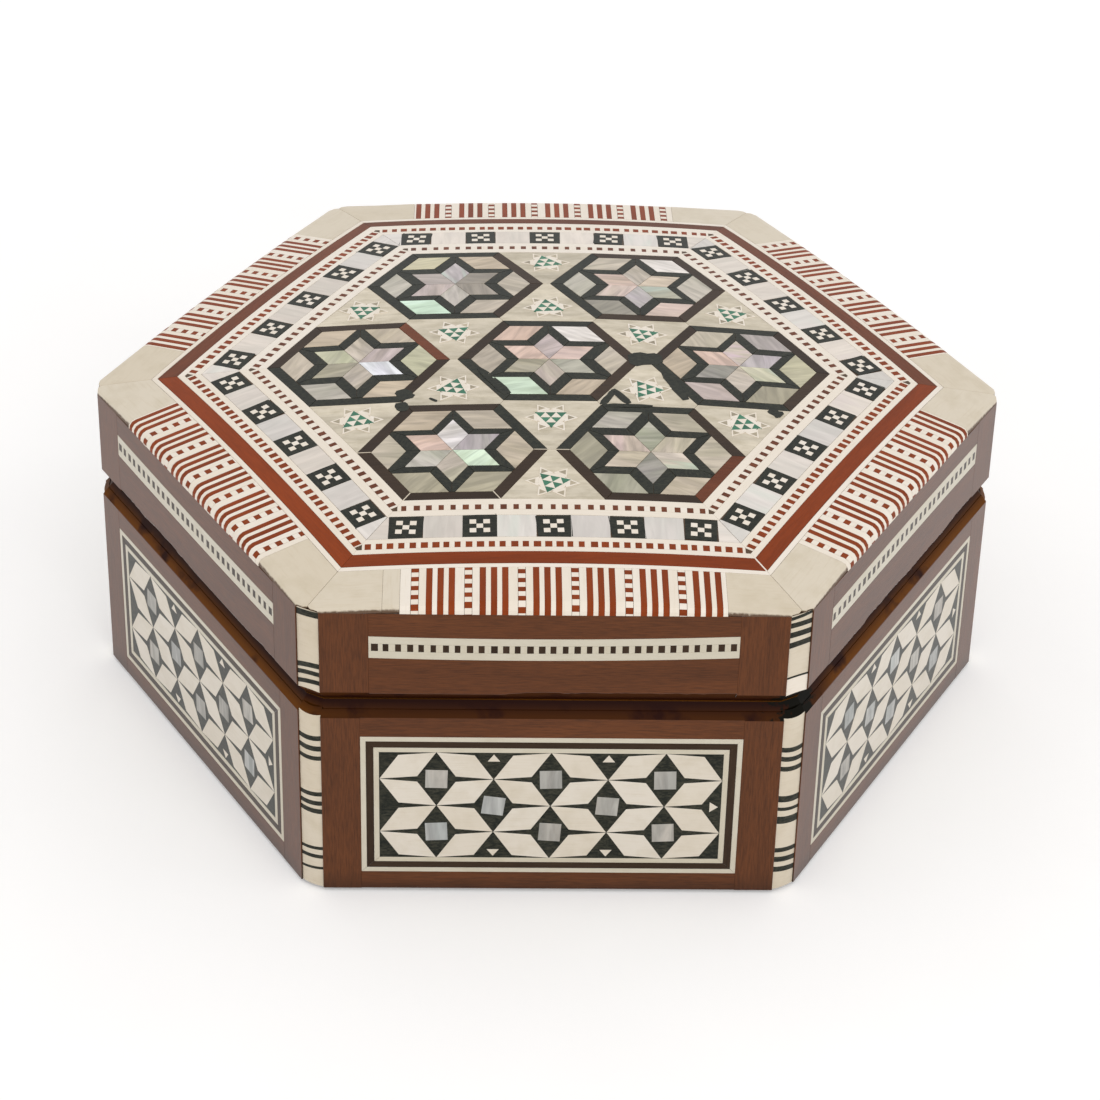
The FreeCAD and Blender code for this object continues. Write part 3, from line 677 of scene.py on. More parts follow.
def white_paper(tree):
    """White floor, brighter to the camera so that only the shadow shows, and brighter still further out."""
    spot = add(tree, "TexCoord", {})["Object"]
    cloud = add(tree, "TexNoise", {"Vector": spot, "Scale": 1 / (40 * MM)})[0]
    tone = add(tree, "Mix", {0: cloud, 6: linear("#EDEBEA"), 7: linear("#F2F1F0")}, data_type="RGBA")[2]
    matte = add(tree, "BsdfDiffuse", {"Color": tone})[0]
    away = add(tree, "VectorMath", {0: spot}, operation="LENGTH")["Value"]
    bright = add(tree, "MapRange", {0: away, 1: 0.2, 2: 0.7, 3: 0.22, 4: 0.5})[0]
    glow = add(tree, "Emission", {"Color": (1, 1, 1, 1), "Strength": bright})[0]
    both = add(tree, "AddShader", {0: matte, 1: glow})[0]
    return add(tree, "MixShader", {0: seen(tree), 1: matte, 2: both})[0]


def polished_camel_bone(tree):
    """Plates and corner strips: cream, cloudy."""
    return polished_bone(tree, "bone", 0.5)


def bleached_bone(tree):
    """Bands and lines of the lid: nearly white."""
    return polished_bone(tree, "white_bone", 0.15)


def lacquered_camel_bone(tree):
    """Rhombs of the walls: paler, under the lacquer of the veneer."""
    return polished_bone(tree, "bone", 0.5, lacquer=1.0, bleach=pale)


def weathered_bone(tree):
    """Thin lines in the walls: greyed, under the lacquer of the veneer."""
    return polished_bone(tree, "wall_bone", 0.4, lacquer=1.0)


def star_mother_of_pearl(tree):
    """Stars, like abalone: grey, lilac and beige, with mint and pink flashes."""
    return mother_of_pearl(tree, ("#FFFCFF", "#E4E8DE"), ("#FFF6F0", "#F2E9DC"), (0.72, 1.16), (0.92, 1.1),
                           0.5, 0.82)


def kite_mother_of_pearl(tree):
    """Round the stars: duller, grey, beige and olive."""
    return mother_of_pearl(tree, ("#FFFCF8", "#E8E8DE"), ("#FFF5EA", "#F2E8DA"), (0.74, 1.12), (0.9, 1.1),
                           0.0, 0.9)


def white_mother_of_pearl(tree):
    """Plates of the lid's band: bluish white, hardly streaked."""
    return mother_of_pearl(tree, ("#E0D8D1", "#DAD5CD"), ("#E6DACE", "#DED4C8"), (0.9, 1.05), (0.86, 1.07),
                           0.1, 0.66)


def grey_mother_of_pearl(tree):
    """Squares of the panels: grey, streaked up and down."""
    return mother_of_pearl(tree, ("#A8ABA8", "#B6B6B2"), ("#B9B2A8", "#A9A69E"), (0.75, 1.12), (0.82, 1.1),
                           0.0, 0.66)


def red_stained_wood(tree):
    """Bands, bars and outer checks: even brick red with short darker fibres."""
    return grained_wood(tree, "red_wood", 0.6, (3.0, 0.25), 0.5, gloss=0.15)


def dark_brown_wood(tree):
    """Hexagon frames: dark brown, some strips redder than others."""
    return grained_wood(tree, "dark_wood", 0.5, (4.0, 0.3), 0.6, lean=0.25, gloss=0.18)


def rosewood(tree):
    """Inner checks, the red bands at the back and two frame strips: brown-red."""
    return grained_wood(tree, "rosewood", 0.55, (3.0, 0.3), 0.6, lean=0.15, gloss=0.18)


def black_stained_wood(tree):
    """Black, with brown-green flecks where the stain has thinned."""
    return grained_wood(tree, "black_wood", "#3E3E32", (0.8, 0.35), 0.7, gloss=0.18, grime="#15120E")


def lacquered_black_wood(tree):
    """The same black on the walls, under the hazy lacquer of the veneer."""
    return grained_wood(tree, "black_wood", "#4A483C", (0.8, 0.35), 0.8, gloss=0.1, haze=0.9, grime="#15120E")


def lacquered_dark_wood(tree):
    """Dark lines in the walls, under the hazy lacquer of the veneer."""
    return grained_wood(tree, "dark_wood", 0.5, (4.0, 0.3), 0.6, lean=0.2, gloss=0.1, haze=0.9)


def mahogany_veneer(tree):
    """Walls: warm brown, fine dark pores about 3 mm long, thin lacquer that hazes at a slant."""
    return grained_wood(tree, "veneer", 0.45, (3.0, 0.22), 0.8, lean=0.03, ior=1.28, gloss=0.5, haze=0.9,
                        grime="#1E0E06")


def hide_glue(tree):
    """Joints between the inlay: brown."""
    return grained_wood(tree, "#5A4634", 0.6, (1.5, 0.8), 0.6, grime="#3A2A1C")


def green_dyed_bone(tree):
    """Green chips of the small stars: uneven in tone from chip to chip."""
    return grained_wood(tree, "green", 0.7, (1.2, 0.4), 0.5, lean=0.2)


def grey_stained_bone(tree):
    """Grey chips of the small stars: uneven in tone from chip to chip."""
    return grained_wood(tree, "#B0A48E", 0.7, (1.2, 0.4), 0.5, lean=0.2)


def pale_horn(tree):
    """Ground of the small stars: beige grey, cloudy."""
    return grained_wood(tree, "#D8CDB9", "#B8AD96", (4.0, 1.5), 0.8, lean=0.05)


def velvet_pile(tree):
    """Linings: deep red, brushed."""
    return short_pile(tree, "velvet", 0.5, 0.6)


def pressed_felt(tree):
    """Underside: dark green, dull."""
    return short_pile(tree, "felt", 0.7, 0.2)


def dress(mesh, *makers):
    """Gives a mesh the materials of some functions, each named for its function, in place of its own.

    A material that isn't there yet is made. The material numbers of the mesh's faces go back to 0.
    """
    mesh.materials.clear()
    for maker in makers:
        material = bpy.data.materials.get(maker.__name__)
        if material is None:
            material = bpy.data.materials.new(maker.__name__)
            material.use_nodes = True
            tree = material.node_tree
            tree.nodes.clear()
            add(tree, "OutputMaterial", {"Surface": maker(tree)})
        mesh.materials.append(material)


# Operators

class BOX_OT_core(bpy.types.Operator):
    """Varnish the boards and walls that the inlay is laid on"""
    bl_idname = "box.core"
    bl_label = "Core wood"

    def execute(self, context):
        walls = [f"{body}_wall_{side}" for body in ("base", "lid") for side in SIDES]
        for name in ("base_bottom_board", "lid_board", *walls):
            dress(frame["nodes"][name].data, varnished_softwood)
        return {"FINISHED"}


class BOX_OT_hinges(bpy.types.Operator):
    """Brass for the hinge leaves, and their screw heads"""
    bl_idname = "box.hinges"
    bl_label = "Hinges"

    def execute(self, context):
        turn = np.arange(20) * 18.0
        # radius and depth of the rings of a screw's head, from under the leaf's face to the middle, in mm
        profile = ((1.15, 0.1), (1.15, -0.01), (1.0, -0.05), (0.3, -0.06))
        # how far a leaf's face is from the seam, and its screws from its edge and its middle
        face, inside, apart = 0.1 * MM, 2.1 * MM, 6 * MM
        for side in ("left", "right"):
            for body, sign, surface in (("base", 1, facing_up), ("lid", -1, facing_down)):
                node = frame["nodes"][f"hinge_{side}_{body}_leaf"]
                dress(node.data, pressed_brass)
                low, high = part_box(node.name)
                middle = (low.x + high.x) / 2
                centres = np.array([(middle + u, (low.y + inside) * sign) for u in (-apart, apart)])
                heads = np.array([[at_depth(rays(r * MM, turn) + centre, d * MM) for r, d in profile]
                                  for centre in centres])
                patches = [shells(heads, partial(surface, height=SEAM - sign * face))]
                make_piece(f"hinge_{side}_{body}_screws", patches, [pressed_brass], body)
        return {"FINISHED"}


def hand_laid(rings, turns):
    """Rings on the lid's walls with the check strip's height bowed and tilted, otherwise on each side.

    The bow is a parabola along the wall, shifted from the middle, and dies out to the wall's edges.
    """
    # by side, in mm: the bow at 30 mm from the middle of the parabola, and how far that middle is shifted
    bow = np.array([0.6, -0.3, 0.4, 0.3, -0.4, 0.35])[turns, None, None] * MM
    shift = np.array([6, -4, 8, -7, 3, -5])[turns, None, None] * MM
    u, z = rings[..., 0], rings[..., 1]
    share = np.interp(z, [LID_EDGE, STRIP_LOW, STRIP_HIGH, sizes().lid_wall_top], [0, 1, 1, 0])
    rings[..., 1] += share * bow * (((u + shift) / (30 * MM)) ** 2 - 0.7)
    return rings


class BOX_OT_veneer(bpy.types.Operator):
    """Lay the brown veneer round the inlay of each wall"""
    bl_idname = "box.veneer"
    bl_label = "Veneer"

    def laid(self, lines):
        """Strips of veneer on all six walls, and their turns."""
        return six(strip(*lines, WALL_THICK, 0.06 * MM))

    def stiles(self, half, top, low):
        """Upright strips from the ends of the inlay to the corners."""
        return self.laid(outward([[-HALF_FLAT, -half], [half, HALF_FLAT]], [[top, low]] * 2, 8))

    def execute(self, context):
        # a strip has six sides and two ends, and the one in the groove has old varnish with painted shade on
        # it
        scuffed = 0.2  # wear of the foot, in mm
        materials = [mahogany_veneer, old_varnish]
        rings, turns = self.stiles(PANEL_HALF, BASE_EDGE, FOOT)
        worn = np.zeros(rings.shape[:3])
        worn[:, -1] = scuffed
        patches = [shells(rings, on_base, turns, [0] * 6 + [1, 0], grain=90, seed=1, worn=worn)]
        rings, turns = self.laid(level(PANEL_HALF, (BASE_EDGE, PANEL_LOW), (PANEL_HIGH, FOOT), 8))
        worn = np.zeros(rings.shape[:3])
        worn[1::2, :, 3:] = scuffed
        patches.append(shells(rings, on_base, turns, [1] + [0] * 7, seed=2, worn=worn))
        make_piece("base_veneer", patches, materials, "base",
                   ["base_veneer_stiles", "base_veneer_rails"])

        rings, turns = self.stiles(STRIP_HALF, wall_top(), LID_EDGE)
        patches = [shells(rings, on_lid, turns, [0] * 7 + [1], grain=90, seed=3)]
        rings, turns = self.laid(level(STRIP_HALF, (wall_top(), STRIP_LOW), (STRIP_HIGH, LID_EDGE), 90))
        # the lower rails' edge over the seam is ragged: a random walk, held near its middle
        walk = np.cumsum(np.random.default_rng(4).normal(0, 0.07 * MM, rings.shape[:2]), 1)
        ragged = np.clip(walk - walk.mean(1, keepdims=True), -0.15 * MM, 0.3 * MM)
        rings[1::2, :, 3:5, 1] += ragged[1::2, :, None]
        patches.append(shells(hand_laid(rings, turns), on_lid, turns, [0] * 4 + [1] + [0] * 3, seed=5))
        make_piece("lid_veneer", patches, materials, "lid",
                   ["lid_veneer_stiles", "lid_veneer_rails"])
        return {"FINISHED"}


# Heights, widths and tilt in mm of the black lines on the two front corners, by corner.
BASE_LINES = {0: ([27.35, 25.55, 23.7, 17.9, 15.95, 13.85, 8.0, 6.15, 4.2],
                  [0.9, 0.9, 0.9, 1.2, 0.65, 1.4, 0.85, 1.0, 1.0], -0.6),
              5: ([28.95, 27.05, 25.2, 18.3, 16.6, 15.1, 7.8, 6.2, 3.9],
                  [0.9, 0.95, 0.8, 0.8, 0.85, 0.9, 0.6, 0.7, 0.5], 0.3)}
LID_LINES = {0: ([52.2, 50.8, 49.1, 47.3, 41.3], [0.6, 0.9, 1.0, 1.0, 0.35], 0.0),
             5: ([51.9, 42.6, 41.2, 39.6], [1.1, 0.9, 0.8, 0.8], 0.3)}
# On the other corners: the range of the highest line, and how far each lies below it, in mm.
BASE_ROWS = ((26, 30), np.array([0, 1.8, 3.6, 10, 11.9, 13.7, 20, 21.8, 23.5]))
LID_ROWS = ((44, 51), np.array([0, 1.6, 3.3]))


class BOX_OT_corner_strips(bpy.types.Operator):
    """Stack the bone and black slices of the corner strips"""
    bl_idname = "box.corner_strips"
    bl_label = "Corner strips"

    def slices(self, low, high, places, widths, tilts):
        """Bone and black slices between low and high, as heights of the lower and upper edge at both ends.

        Each black slice has its middle, its width and a tilt, half up at one end and half down at the other.
        """
        order = np.argsort(places)
        ends = places[order, None] + tilts[order, None] * (-0.5, 0.5)
        lower, upper = (ends + sign * widths[order, None] / 2 for sign in (-1, 1))
        bones = np.stack([np.concatenate([[[low, low]], upper]), np.concatenate([lower, [[high, high]]])], 1)
        return bones, np.stack([lower, upper], 1)

    def execute(self, context):
        chance = np.random.default_rng(11)
        # materials by number: bone, black, varnish with painted shade on the edge in the groove, and the
        # whiter bone of a mend
        groove_edge, varnish, mend = {"base": 0, "lid": 4}, 2, 3
        for body, lines, (span, below), low, high, surface in (
                ("base", BASE_LINES, BASE_ROWS, FOOT, BASE_EDGE, on_base_corner),
                ("lid", LID_LINES, LID_ROWS, LID_EDGE, wall_top(), on_lid_corner)):
            patches = []
            for corner in range(6):
                rows = chance.uniform(*span) - below
                usual = (rows, chance.uniform(0.85, 1.2, len(rows)), 0.0)
                places, widths, tilt = lines.get(corner, usual)
                tilts = chance.normal(tilt, 0.12, len(places)) * MM
                kinds = self.slices(low, high, np.array(places) * MM, np.array(widths) * MM, tilts)
                for kind, spans in enumerate(kinds):
                    rings = strip(*level(CORNER_HALF, spans[:, 1], spans[:, 0], 7), WALL_THICK, 0.03 * MM)
                    worn = np.zeros(rings.shape[:3])
                    worn[:, [0, -1]] = 0.1  # beside the veneer, in mm
                    sides = [kind] * 8
                    sides[groove_edge[body]] = varnish
                    # the right front strip of the lid was mended with a whiter piece at its foot
                    mended = (body, corner, kind) == ("lid", 0, 0)
                    lowest = [mend if mended and side == kind else side for side in sides]
                    for part, faces, seed in ((slice(0, 1), lowest, 20), (slice(1, None), sides, 40)):
                        patches.append(shells(rings[part], surface, corner + 0.5, faces,
                                              seed=seed + corner, worn=worn[part]))
            materials = [polished_camel_bone, lacquered_black_wood, old_varnish]
            materials += [bleached_bone] * (body == "lid")
            make_piece(f"{body}_corner_slices", patches, materials, body, [f"{body}_corner_strips"])
        return {"FINISHED"}


class BOX_OT_panels(bpy.types.Operator):
    """Inlay the rhomb panels of the base walls"""
    bl_idname = "box.panels"
    bl_label = "Rhomb panels"

    def execute(self, context):
        s = sizes()
        middle = (PANEL_LOW + PANEL_HIGH) / 2
        lift = (0, middle)
        w, h = PANEL_HALF, (PANEL_HIGH - PANEL_LOW) / 2
        patches = []
        for step, line in enumerate((s.bone_line, s.dark_line, s.bone_line)):
            outer = rectangles(-w, -h, w, h)[0]
            w, h = w - line, h - line
            inner = rectangles(-w, -h, w, h)[0]
            quads = np.stack([outer, np.roll(outer, -1, 0), np.roll(inner, -1, 0), inner], 1) + lift
            rings, turns = six(inlaid(quads, 0.5))
            for first, grain in enumerate((0, 90)):  # level and upright lines
                part = slice(first, None, 2)
                patches.append(shells(rings[part], on_base, turns[part], step % 2, grain, seed=30 + step))
        make_piece("panel_lines", patches, [weathered_bone, lacquered_dark_wood], "base",
                   ["panel_outer_bone_lines", "panel_dark_lines", "panel_inner_bone_lines"])

        ground = strip(*level(w, [middle + h], [middle - h], 4), s.inlay, s.sunk, 0.03 * MM)
        make_piece("panel_ground", [six_shells(ground, on_base, seed=34)], [lacquered_black_wood], "base",
                   ["panel_grounds"])

        # a cell is four rhombs that meet at its middle, and there are three by two cells
        wide, high, lean = w / 3, h / 2, 0.5 * MM
        rhomb = np.array([(-wide, 0), (-wide * 2 / 3, lean - high), (0, -high), (-wide / 3, -lean)])
        mirror = (rhomb * (-1, 1))[::-1]
        rhombs = np.stack([rhomb, mirror, -rhomb, -mirror])
        cells = np.array([(u, v) for u in (-2 * wide, 0, 2 * wide) for v in (-high, high)])
        outlines = (rhombs[None] + cells[:, None, None]).reshape(-1, 4, 2) + lift
        patches = [six_shells(inlaid(outlines), on_base, seed=35)]
        # small triangles at the upper and lower edge and at the right end
        tips, edge, end = np.array([(-0.95, -0.55), (0.95, -0.55), (0, 0.75)]) * MM, 1.1 * MM, 1.2 * MM
        small = np.stack([tips + (u * wide, h - edge) for u in (-1, 1)]
                         + [spun(tips, 180) + (u * wide, edge - h) for u in (-1, 1)]
                         + [spun(tips, -90) + (w - end, 0)]) + lift
        patches.append(six_shells(inlaid(small, 0), on_base, seed=36))
        make_piece("panel_rhombs", patches, [lacquered_camel_bone], "base", ["panel_bone_rhombs"])

        half = s.pearl_square / 2
        spots = np.concatenate([cells, [(-wide, 0), (wide, 0)]])
        squares, turns = six(rectangles(-half, -half, half, half) + spots[:, None] + lift)
        centre = squares.mean(axis=-2, keepdims=True)
        askew = np.random.default_rng(37).normal(0, 3, len(squares))
        squares = np.stack([spun(o, a) for o, a in zip(squares - centre, askew)]) + centre
        make_piece("panel_pearls", [shells(inlaid(squares, 0), on_base, turns, grain=90, seed=38)],
                   [grey_mother_of_pearl], "base", ["panel_pearl_squares"])
        return {"FINISHED"}


class BOX_OT_lid_walls(bpy.types.Operator):
    """Let the check strips into the lid's walls"""
    bl_idname = "box.lid_walls"
    bl_label = "Lid wall strips"

    def execute(self, context):
        _, bevel, thick = inlay()
        line, block, count = 1.3 * MM, 0.92 * MM, 31
        low, high = STRIP_LOW + line, STRIP_HIGH - line
        rings, turns = six(strip(*level(STRIP_HALF, (STRIP_HIGH, low), (high, STRIP_LOW), 24), thick, bevel))
        patches = [shells(hand_laid(rings, turns), on_lid, turns, seed=40)]
        start = -STRIP_HALF + 2 * STRIP_HALF / count * (np.arange(count) + 0.2)
        chance = np.random.default_rng(42)
        for turn in range(6):
            for kind, outlines in check_row(start, block, 0.04 * MM, STRIP_HALF, low, high, chance):
                rings = hand_laid(tile(outlines, thick, TIGHT), np.full(len(outlines), turn))
                patches.append(shells(rings, on_lid, turn, kind, grain=90, seed=43 + turn))
        make_piece("lid_wall_checks", patches, [weathered_bone, lacquered_dark_wood], "lid",
                   ["lid_wall_check_strips"])
        return {"FINISHED"}


# Far edge of each stripe of a band from a ladder's middle, as a share of the pattern, and what it is:
# 0 bone, 1 red wood, 2 the ladder.
STRIPES = np.array([-0.075, 0.075, 0.21, 0.328, 0.421, 0.539, 0.631, 0.749])
STRIPE_KINDS = [0, 2, 0, 1, 0, 1, 0, 1]


class BOX_OT_lid_border(bpy.types.Operator):
    """Lay the border of the lid's top, from its edge to the star field"""
    bl_idname = "box.lid_border"
    bl_label = "Lid border"

    def bed(self):
        """Glue under the inlay: wedges from the middle to the edge, a little below the face."""
        share = np.linspace(-1, 1, 9) * TAN30
        start, overlap = 0.05 * MM, 1e-6
        left, right = [], []
        for low, high in zip(share[:-1], share[1:]):
            end = edge_end(np.minimum(FLAT * np.abs(low + high) / 2, HALF_FLAT), 0)
            run = start + (end - start) * np.linspace(0, 1, 24)
            distance = np.minimum(run, FLAT)
            limit = half_width(distance)
            left.append(np.stack([np.clip(distance * high, -limit, limit), -run], -1))
            right.append(np.stack([np.clip(distance * low, -limit, limit) - overlap, -run], -1))
        wedges = strip(np.array(left), np.array(right), 0.5 * MM, 0.001 * MM, 0.08 * MM)
        make_piece("lid_glue_bed", [six_shells(wedges, over_edge, seed=50)], [hide_glue], "lid")

    def plates(self):
        """Bone plates at the corners, rolled over the edge."""
        joint, bevel, thick = inlay()
        filled = 2.6 * MM  # the front band is longer at its right end, and a filler was let in at its left
        far = edge_end(HALF_FLAT)
        run = STRIPE_IN + joint + (far - STRIPE_IN - joint) * np.linspace(0, 1, 16)
        limit = half_width(np.minimum(run, FLAT)) - joint
        near = np.full_like(run, BAND_HALF + joint)
        left, right = (np.stack([np.stack([u, -run], -1) for u in pair])
                       for pair in ((limit, -near), (near, -limit)))
        rings, turns = six(strip(left, right, thick, bevel))
        rings[0, :, 3:, 0] += filled
        rings[1, :, :3, 0] -= filled
        worn = np.zeros(rings.shape[:3])
        worn[:, -2:] = np.array([0.08, 0.5])[:, None]  # towards the rim, in mm
        filler = strip(*outward([[-BAND_HALF - filled, -BAND_HALF - joint]],
                                [[-STRIPE_IN - joint, -far]], 16), thick, bevel)
        make_piece("bone_plates", [shells(rings, over_edge, turns, seed=51, worn=worn),
                                   shells(filler, over_edge, 0, grain=90, seed=52, worn=worn[:1])],
                   [polished_camel_bone], "lid", ["lid_bone_plates"])

    def stripes(self, side):
        """Low and high u of each stripe of a side's band, and its kind; the front band is a little longer."""
        # middle of the first ladder, pitch of the ladders and end of the band
        first, period, last = 1.6 * MM - BAND_HALF, 7.7 * MM, BAND_HALF
        if side == 0:
            first, period, last = -20.9 * MM, 7.98 * MM, 25.7 * MM
        ladders = first + period * np.arange(6)
        edges = np.minimum(ladders[:, None] + STRIPES * period, last).ravel()
        edges = np.concatenate([[-BAND_HALF], edges, [last]])
        spans, kinds = np.stack([edges[:-1], edges[1:]], -1), np.array(STRIPE_KINDS * 6 + [0])
        keep = spans[:, 1] - spans[:, 0] > 0.1 * MM
        spans, kinds = spans[keep], kinds[keep]
        return (-spans[:, ::-1] if side in (2, 5) else spans), kinds

    def bands(self):
        """Striped bands between the plates, over the edge: bone and red stripes, and ladders of both."""
        joint, _, thick = inlay()
        slit = 0.05 * MM  # beside a ladder the glue line shows
        inner = -STRIPE_IN - joint
        chance = np.random.default_rng(59)
        patches = []
        for side in range(6):
            spans, kinds = self.stripes(side)
            tail = -edge_end(spans.mean(1))
            for kind in (0, 1):
                picked = spans[kinds == kind] + (TIGHT / 2, -TIGHT / 2)
                depth = np.stack([np.full(len(picked), inner), tail[kinds == kind]], -1)
                patches.append(shells(strip(*outward(picked, depth, 14), thick, TIGHT), over_edge, side, kind,
                                      grain=90, seed=60 + side * 2 + kind))
            # rungs 1 mm long; each ladder starts at its own point, and the rungs at both ends are cut short
            steps, outer = spans[kinds == 2] + (slit, -slit), tail[kinds == 2]
            first = inner + chance.uniform(-0.6, 0.6, len(steps)) * MM
            for rung in range(-1, 12):
                depth = np.clip(first[:, None] - (rung * MM, (rung + 1) * MM), outer[:, None], inner)
                whole = depth[:, 0] - depth[:, 1] > 0.12 * MM
                if whole.any():
                    rings = strip(*outward(steps[whole], depth[whole], 4), thick, TIGHT)
                    patches.append(shells(rings, over_edge, side, 1 - rung % 2, seed=80 + side))
        make_piece("striped_bands", patches, [bleached_bone, red_stained_wood], "lid",
                   ["lid_striped_bands"])

    def mitred(self, far, near, joint):
        """One strip along the front side from mitre to mitre, between two distances from the axis."""
        far, near = far - joint, near + joint
        ends = ([[-distance * TAN30 + joint, distance * TAN30 - joint]] for distance in (near, far))
        return along(*ends, [[-near] * 2], [[-far] * 2], 24)

    def thinned(self, rings, points, near):
        """Moves points of the mitred sections outward: the red band narrows towards the back of the lid."""
        share = np.linspace(0, 1, rings.shape[1])[:, None]
        for side, part in ((2, share), (3, np.ones_like(share)), (4, share[::-1])):
            shift = 0.6 * MM * part
            rings[side, :, points, 1] -= shift
            rings[side, :, points, 0] *= 1 + shift / near

    def lines(self):
        """White line and red band, mitred at the corners; the band is narrower and browner at the back."""
        joint, bevel, thick = inlay()
        for name, far, near, materials, slot, node in (
                ("white_lines", STRIPE_IN, RED_OUT, [bleached_bone], "bone", "lid_white_lines"),
                ("red_bands", RED_OUT, CHECK_OUT, [red_stained_wood, rosewood, bleached_bone], "red_wood",
                 "lid_red_bands")):
            rings, turns = six(strip(*self.mitred(far, near, joint), thick, bevel))
            red = name == "red_bands"
            if red:
                self.thinned(rings, slice(0, 3), near)
            back = np.isin(turns, (2, 3, 4))
            patches = [shells(rings[~back], on_crown, turns[~back], seed=90),
                       shells(rings[back], on_crown, turns[back], int(red), seed=91)]
            if red:
                # pale glue shows in the mitre at the right front corner
                line = spun(rectangles(near / COS30, -0.12 * MM, far / COS30, 0.12 * MM), -60)
                patches.append(shells(tile(line, 0.3 * MM, TIGHT, -TIGHT), on_crown, 0, 2, seed=92))
            make_piece(name, patches, materials, "lid", [node])

    def checks(self):
        """Check strips: two bone lines with a row of dark and bone blocks between them, not quite even."""
        joint, bevel, thick = inlay()
        chance = np.random.default_rng(94)
        for name, far, near, row, count, block, dark in (
                ("outer_check", CHECK_OUT, PEARL_OUT, 1.3 * MM, 34, 1.0 * MM, red_stained_wood),
                ("inner_check", PEARL_IN, FIELD, 1.2 * MM, 25, 0.88 * MM, rosewood)):
            line = (far - near - row) / 2
            patches = []
            for out in (far, far - line - row):
                rings, turns = six(strip(*self.mitred(out, out - line, joint / 2), thick, bevel))
                if out == CHECK_OUT:
                    self.thinned(rings, slice(3, 6), out)
                patches.append(shells(rings, on_crown, turns, seed=95))
            half = (near + line) * TAN30
            pitch = 2 * half / count
            start = -half + pitch * np.arange(count) + (pitch - block) / 2
            low = -far + line
            for turn in range(6):
                for kind, outlines in check_row(start, block, 0.05 * MM, half, low, low + row, chance):
                    patches.append(shells(tile(outlines, thick, TIGHT), on_crown, turn, kind, grain=90,
                                          seed=96 + turn))
            make_piece(f"{name}s", patches, [bleached_bone, dark], "lid",
                       [f"lid_{name}_strips"])

    def pearl_band(self):
        """Black squares with a small check let in, and pearl plates between them."""
        chance = np.random.default_rng(100)
        half, pitch, chip = sizes().black_square / 2, 11.25 * MM, 1.05 * MM
        middles = pitch * (np.arange(5) - 2)
        centres, turns = six(np.stack([middles, np.full(5, -(PEARL_OUT + PEARL_IN) / 2)], -1))
        centres = centres[:, None]
        askew = chance.normal(0, 3, 30)
        squares = np.stack([spun(rectangles(-half, -half, half, half)[0], a) for a in askew]) + centres
        squares = squares + chance.normal(0, 0.13 * MM, squares.shape)
        patches = [shells(inlaid(squares, 0), on_crown, turns, seed=101)]
        u, v = np.array([(0, 0), (-1, -1), (1, -1), (1, 1), (-1, 1)]).T * chip
        small = rectangles(u - chip / 2, v - chip / 2, u + chip / 2, v + chip / 2)
        small = np.concatenate([spun(small, a) + c for a, c in zip(askew, centres)])
        rings = tile(inset(small, 0.02 * MM), sizes().inlay, TIGHT, -0.015 * MM)
        patches.append(shells(rings, on_crown, np.repeat(turns, 5), 1, seed=102))
        make_piece("black_squares", patches, [black_stained_wood, bleached_bone], "lid",
                   ["lid_black_squares"])

        plates = rectangles(middles[:-1] + half, -PEARL_OUT, middles[1:] - half, -PEARL_IN)
        end = middles[-1] + half
        wedge = np.array([[(end, -PEARL_OUT), (PEARL_OUT * TAN30, -PEARL_OUT), (PEARL_IN * TAN30, -PEARL_IN),
                           (end, -PEARL_IN)]])
        wedges = np.concatenate([wedge, (wedge * (-1, 1))[:, ::-1]])
        patches = [six_shells(inlaid(outlines), on_crown, grain=grain, seed=seed)
                   for outlines, grain, seed in ((plates, 90, 103), (wedges, 0, 104))]
        make_piece("pearl_plates", patches, [white_mother_of_pearl], "lid",
                   ["lid_pearl_plates"])

    def execute(self, context):
        for part in (self.bed, self.plates, self.bands, self.lines, self.checks, self.pearl_band):
            part()
        return {"FINISHED"}


# Tints of the star pearl: grey, lilac, pink, olive, beige, white, mint, yellow and dark.
PEARL_TINTS = {"g": "#C8C2B8", "l": "#C6BCBE", "p": "#DFC8BE", "o": "#B2B09E", "b": "#CEC3B2", "w": "#F0F1F6",
               "m": "#DDF8E6", "y": "#D2D1B6", "d": "#A09B92"}
# Star by star, a letter for each rhomb, from the upper right to the left, and each kite, from the right.
RHOMB_TINTS = "plpogo lgpdgy bgpplo dlllgd lgyogw lwpgbm bopbdb"
KITE_TINTS = "gwpgmb ylbblo gwbgdp gbygmg ybbggb bgbboo bbgoob"
# Frame strips, counted star by star from the right. Two are redder: the left star's upper right one and the
# front right star's lower right one. About a third are black.
RED_STRIPS = (24, 41)
BLACK_STRIPS = (1, 3, 4, 7, 9, 10, 14, 15, 19, 20, 21, 22, 27, 28, 30, 37, 38)
# Pale glue shows in five mitres of the front stars.
PALE_MITRES = [30, 33, 34, 35, 39]
# Strokes of black mastic: start, end and the half width at both, in mm.
MASTIC = np.array([
    (13.0, 0.5, 18.6, 0.9, 2.2, 1.9), (18.6, -3.3, 21.9, -11.6, 0.7, 0.9),
    (8.3, -14.0, 10.4, -9.4, 0.7, 0.5), (10.2, -9.2, 12.6, -13.4, 0.6, 0.7),
    (8.6, -14.2, 16.4, -13.9, 0.6, 0.35), (-24.1, -9.2, -22.8, -12.1, 1.2, 1.5),
    (-24.0, -13.1, -23.5, -15.7, 1.2, 0.9), (-11.5, -2.9, -6.8, -11.1, 0.6, 1.1),
    (35.1, -13.2, 37.2, -14.5, 0.7, 1.2), (-19.4, -12.0, -18.2, -13.0, 0.25, 0.3)]) * MM


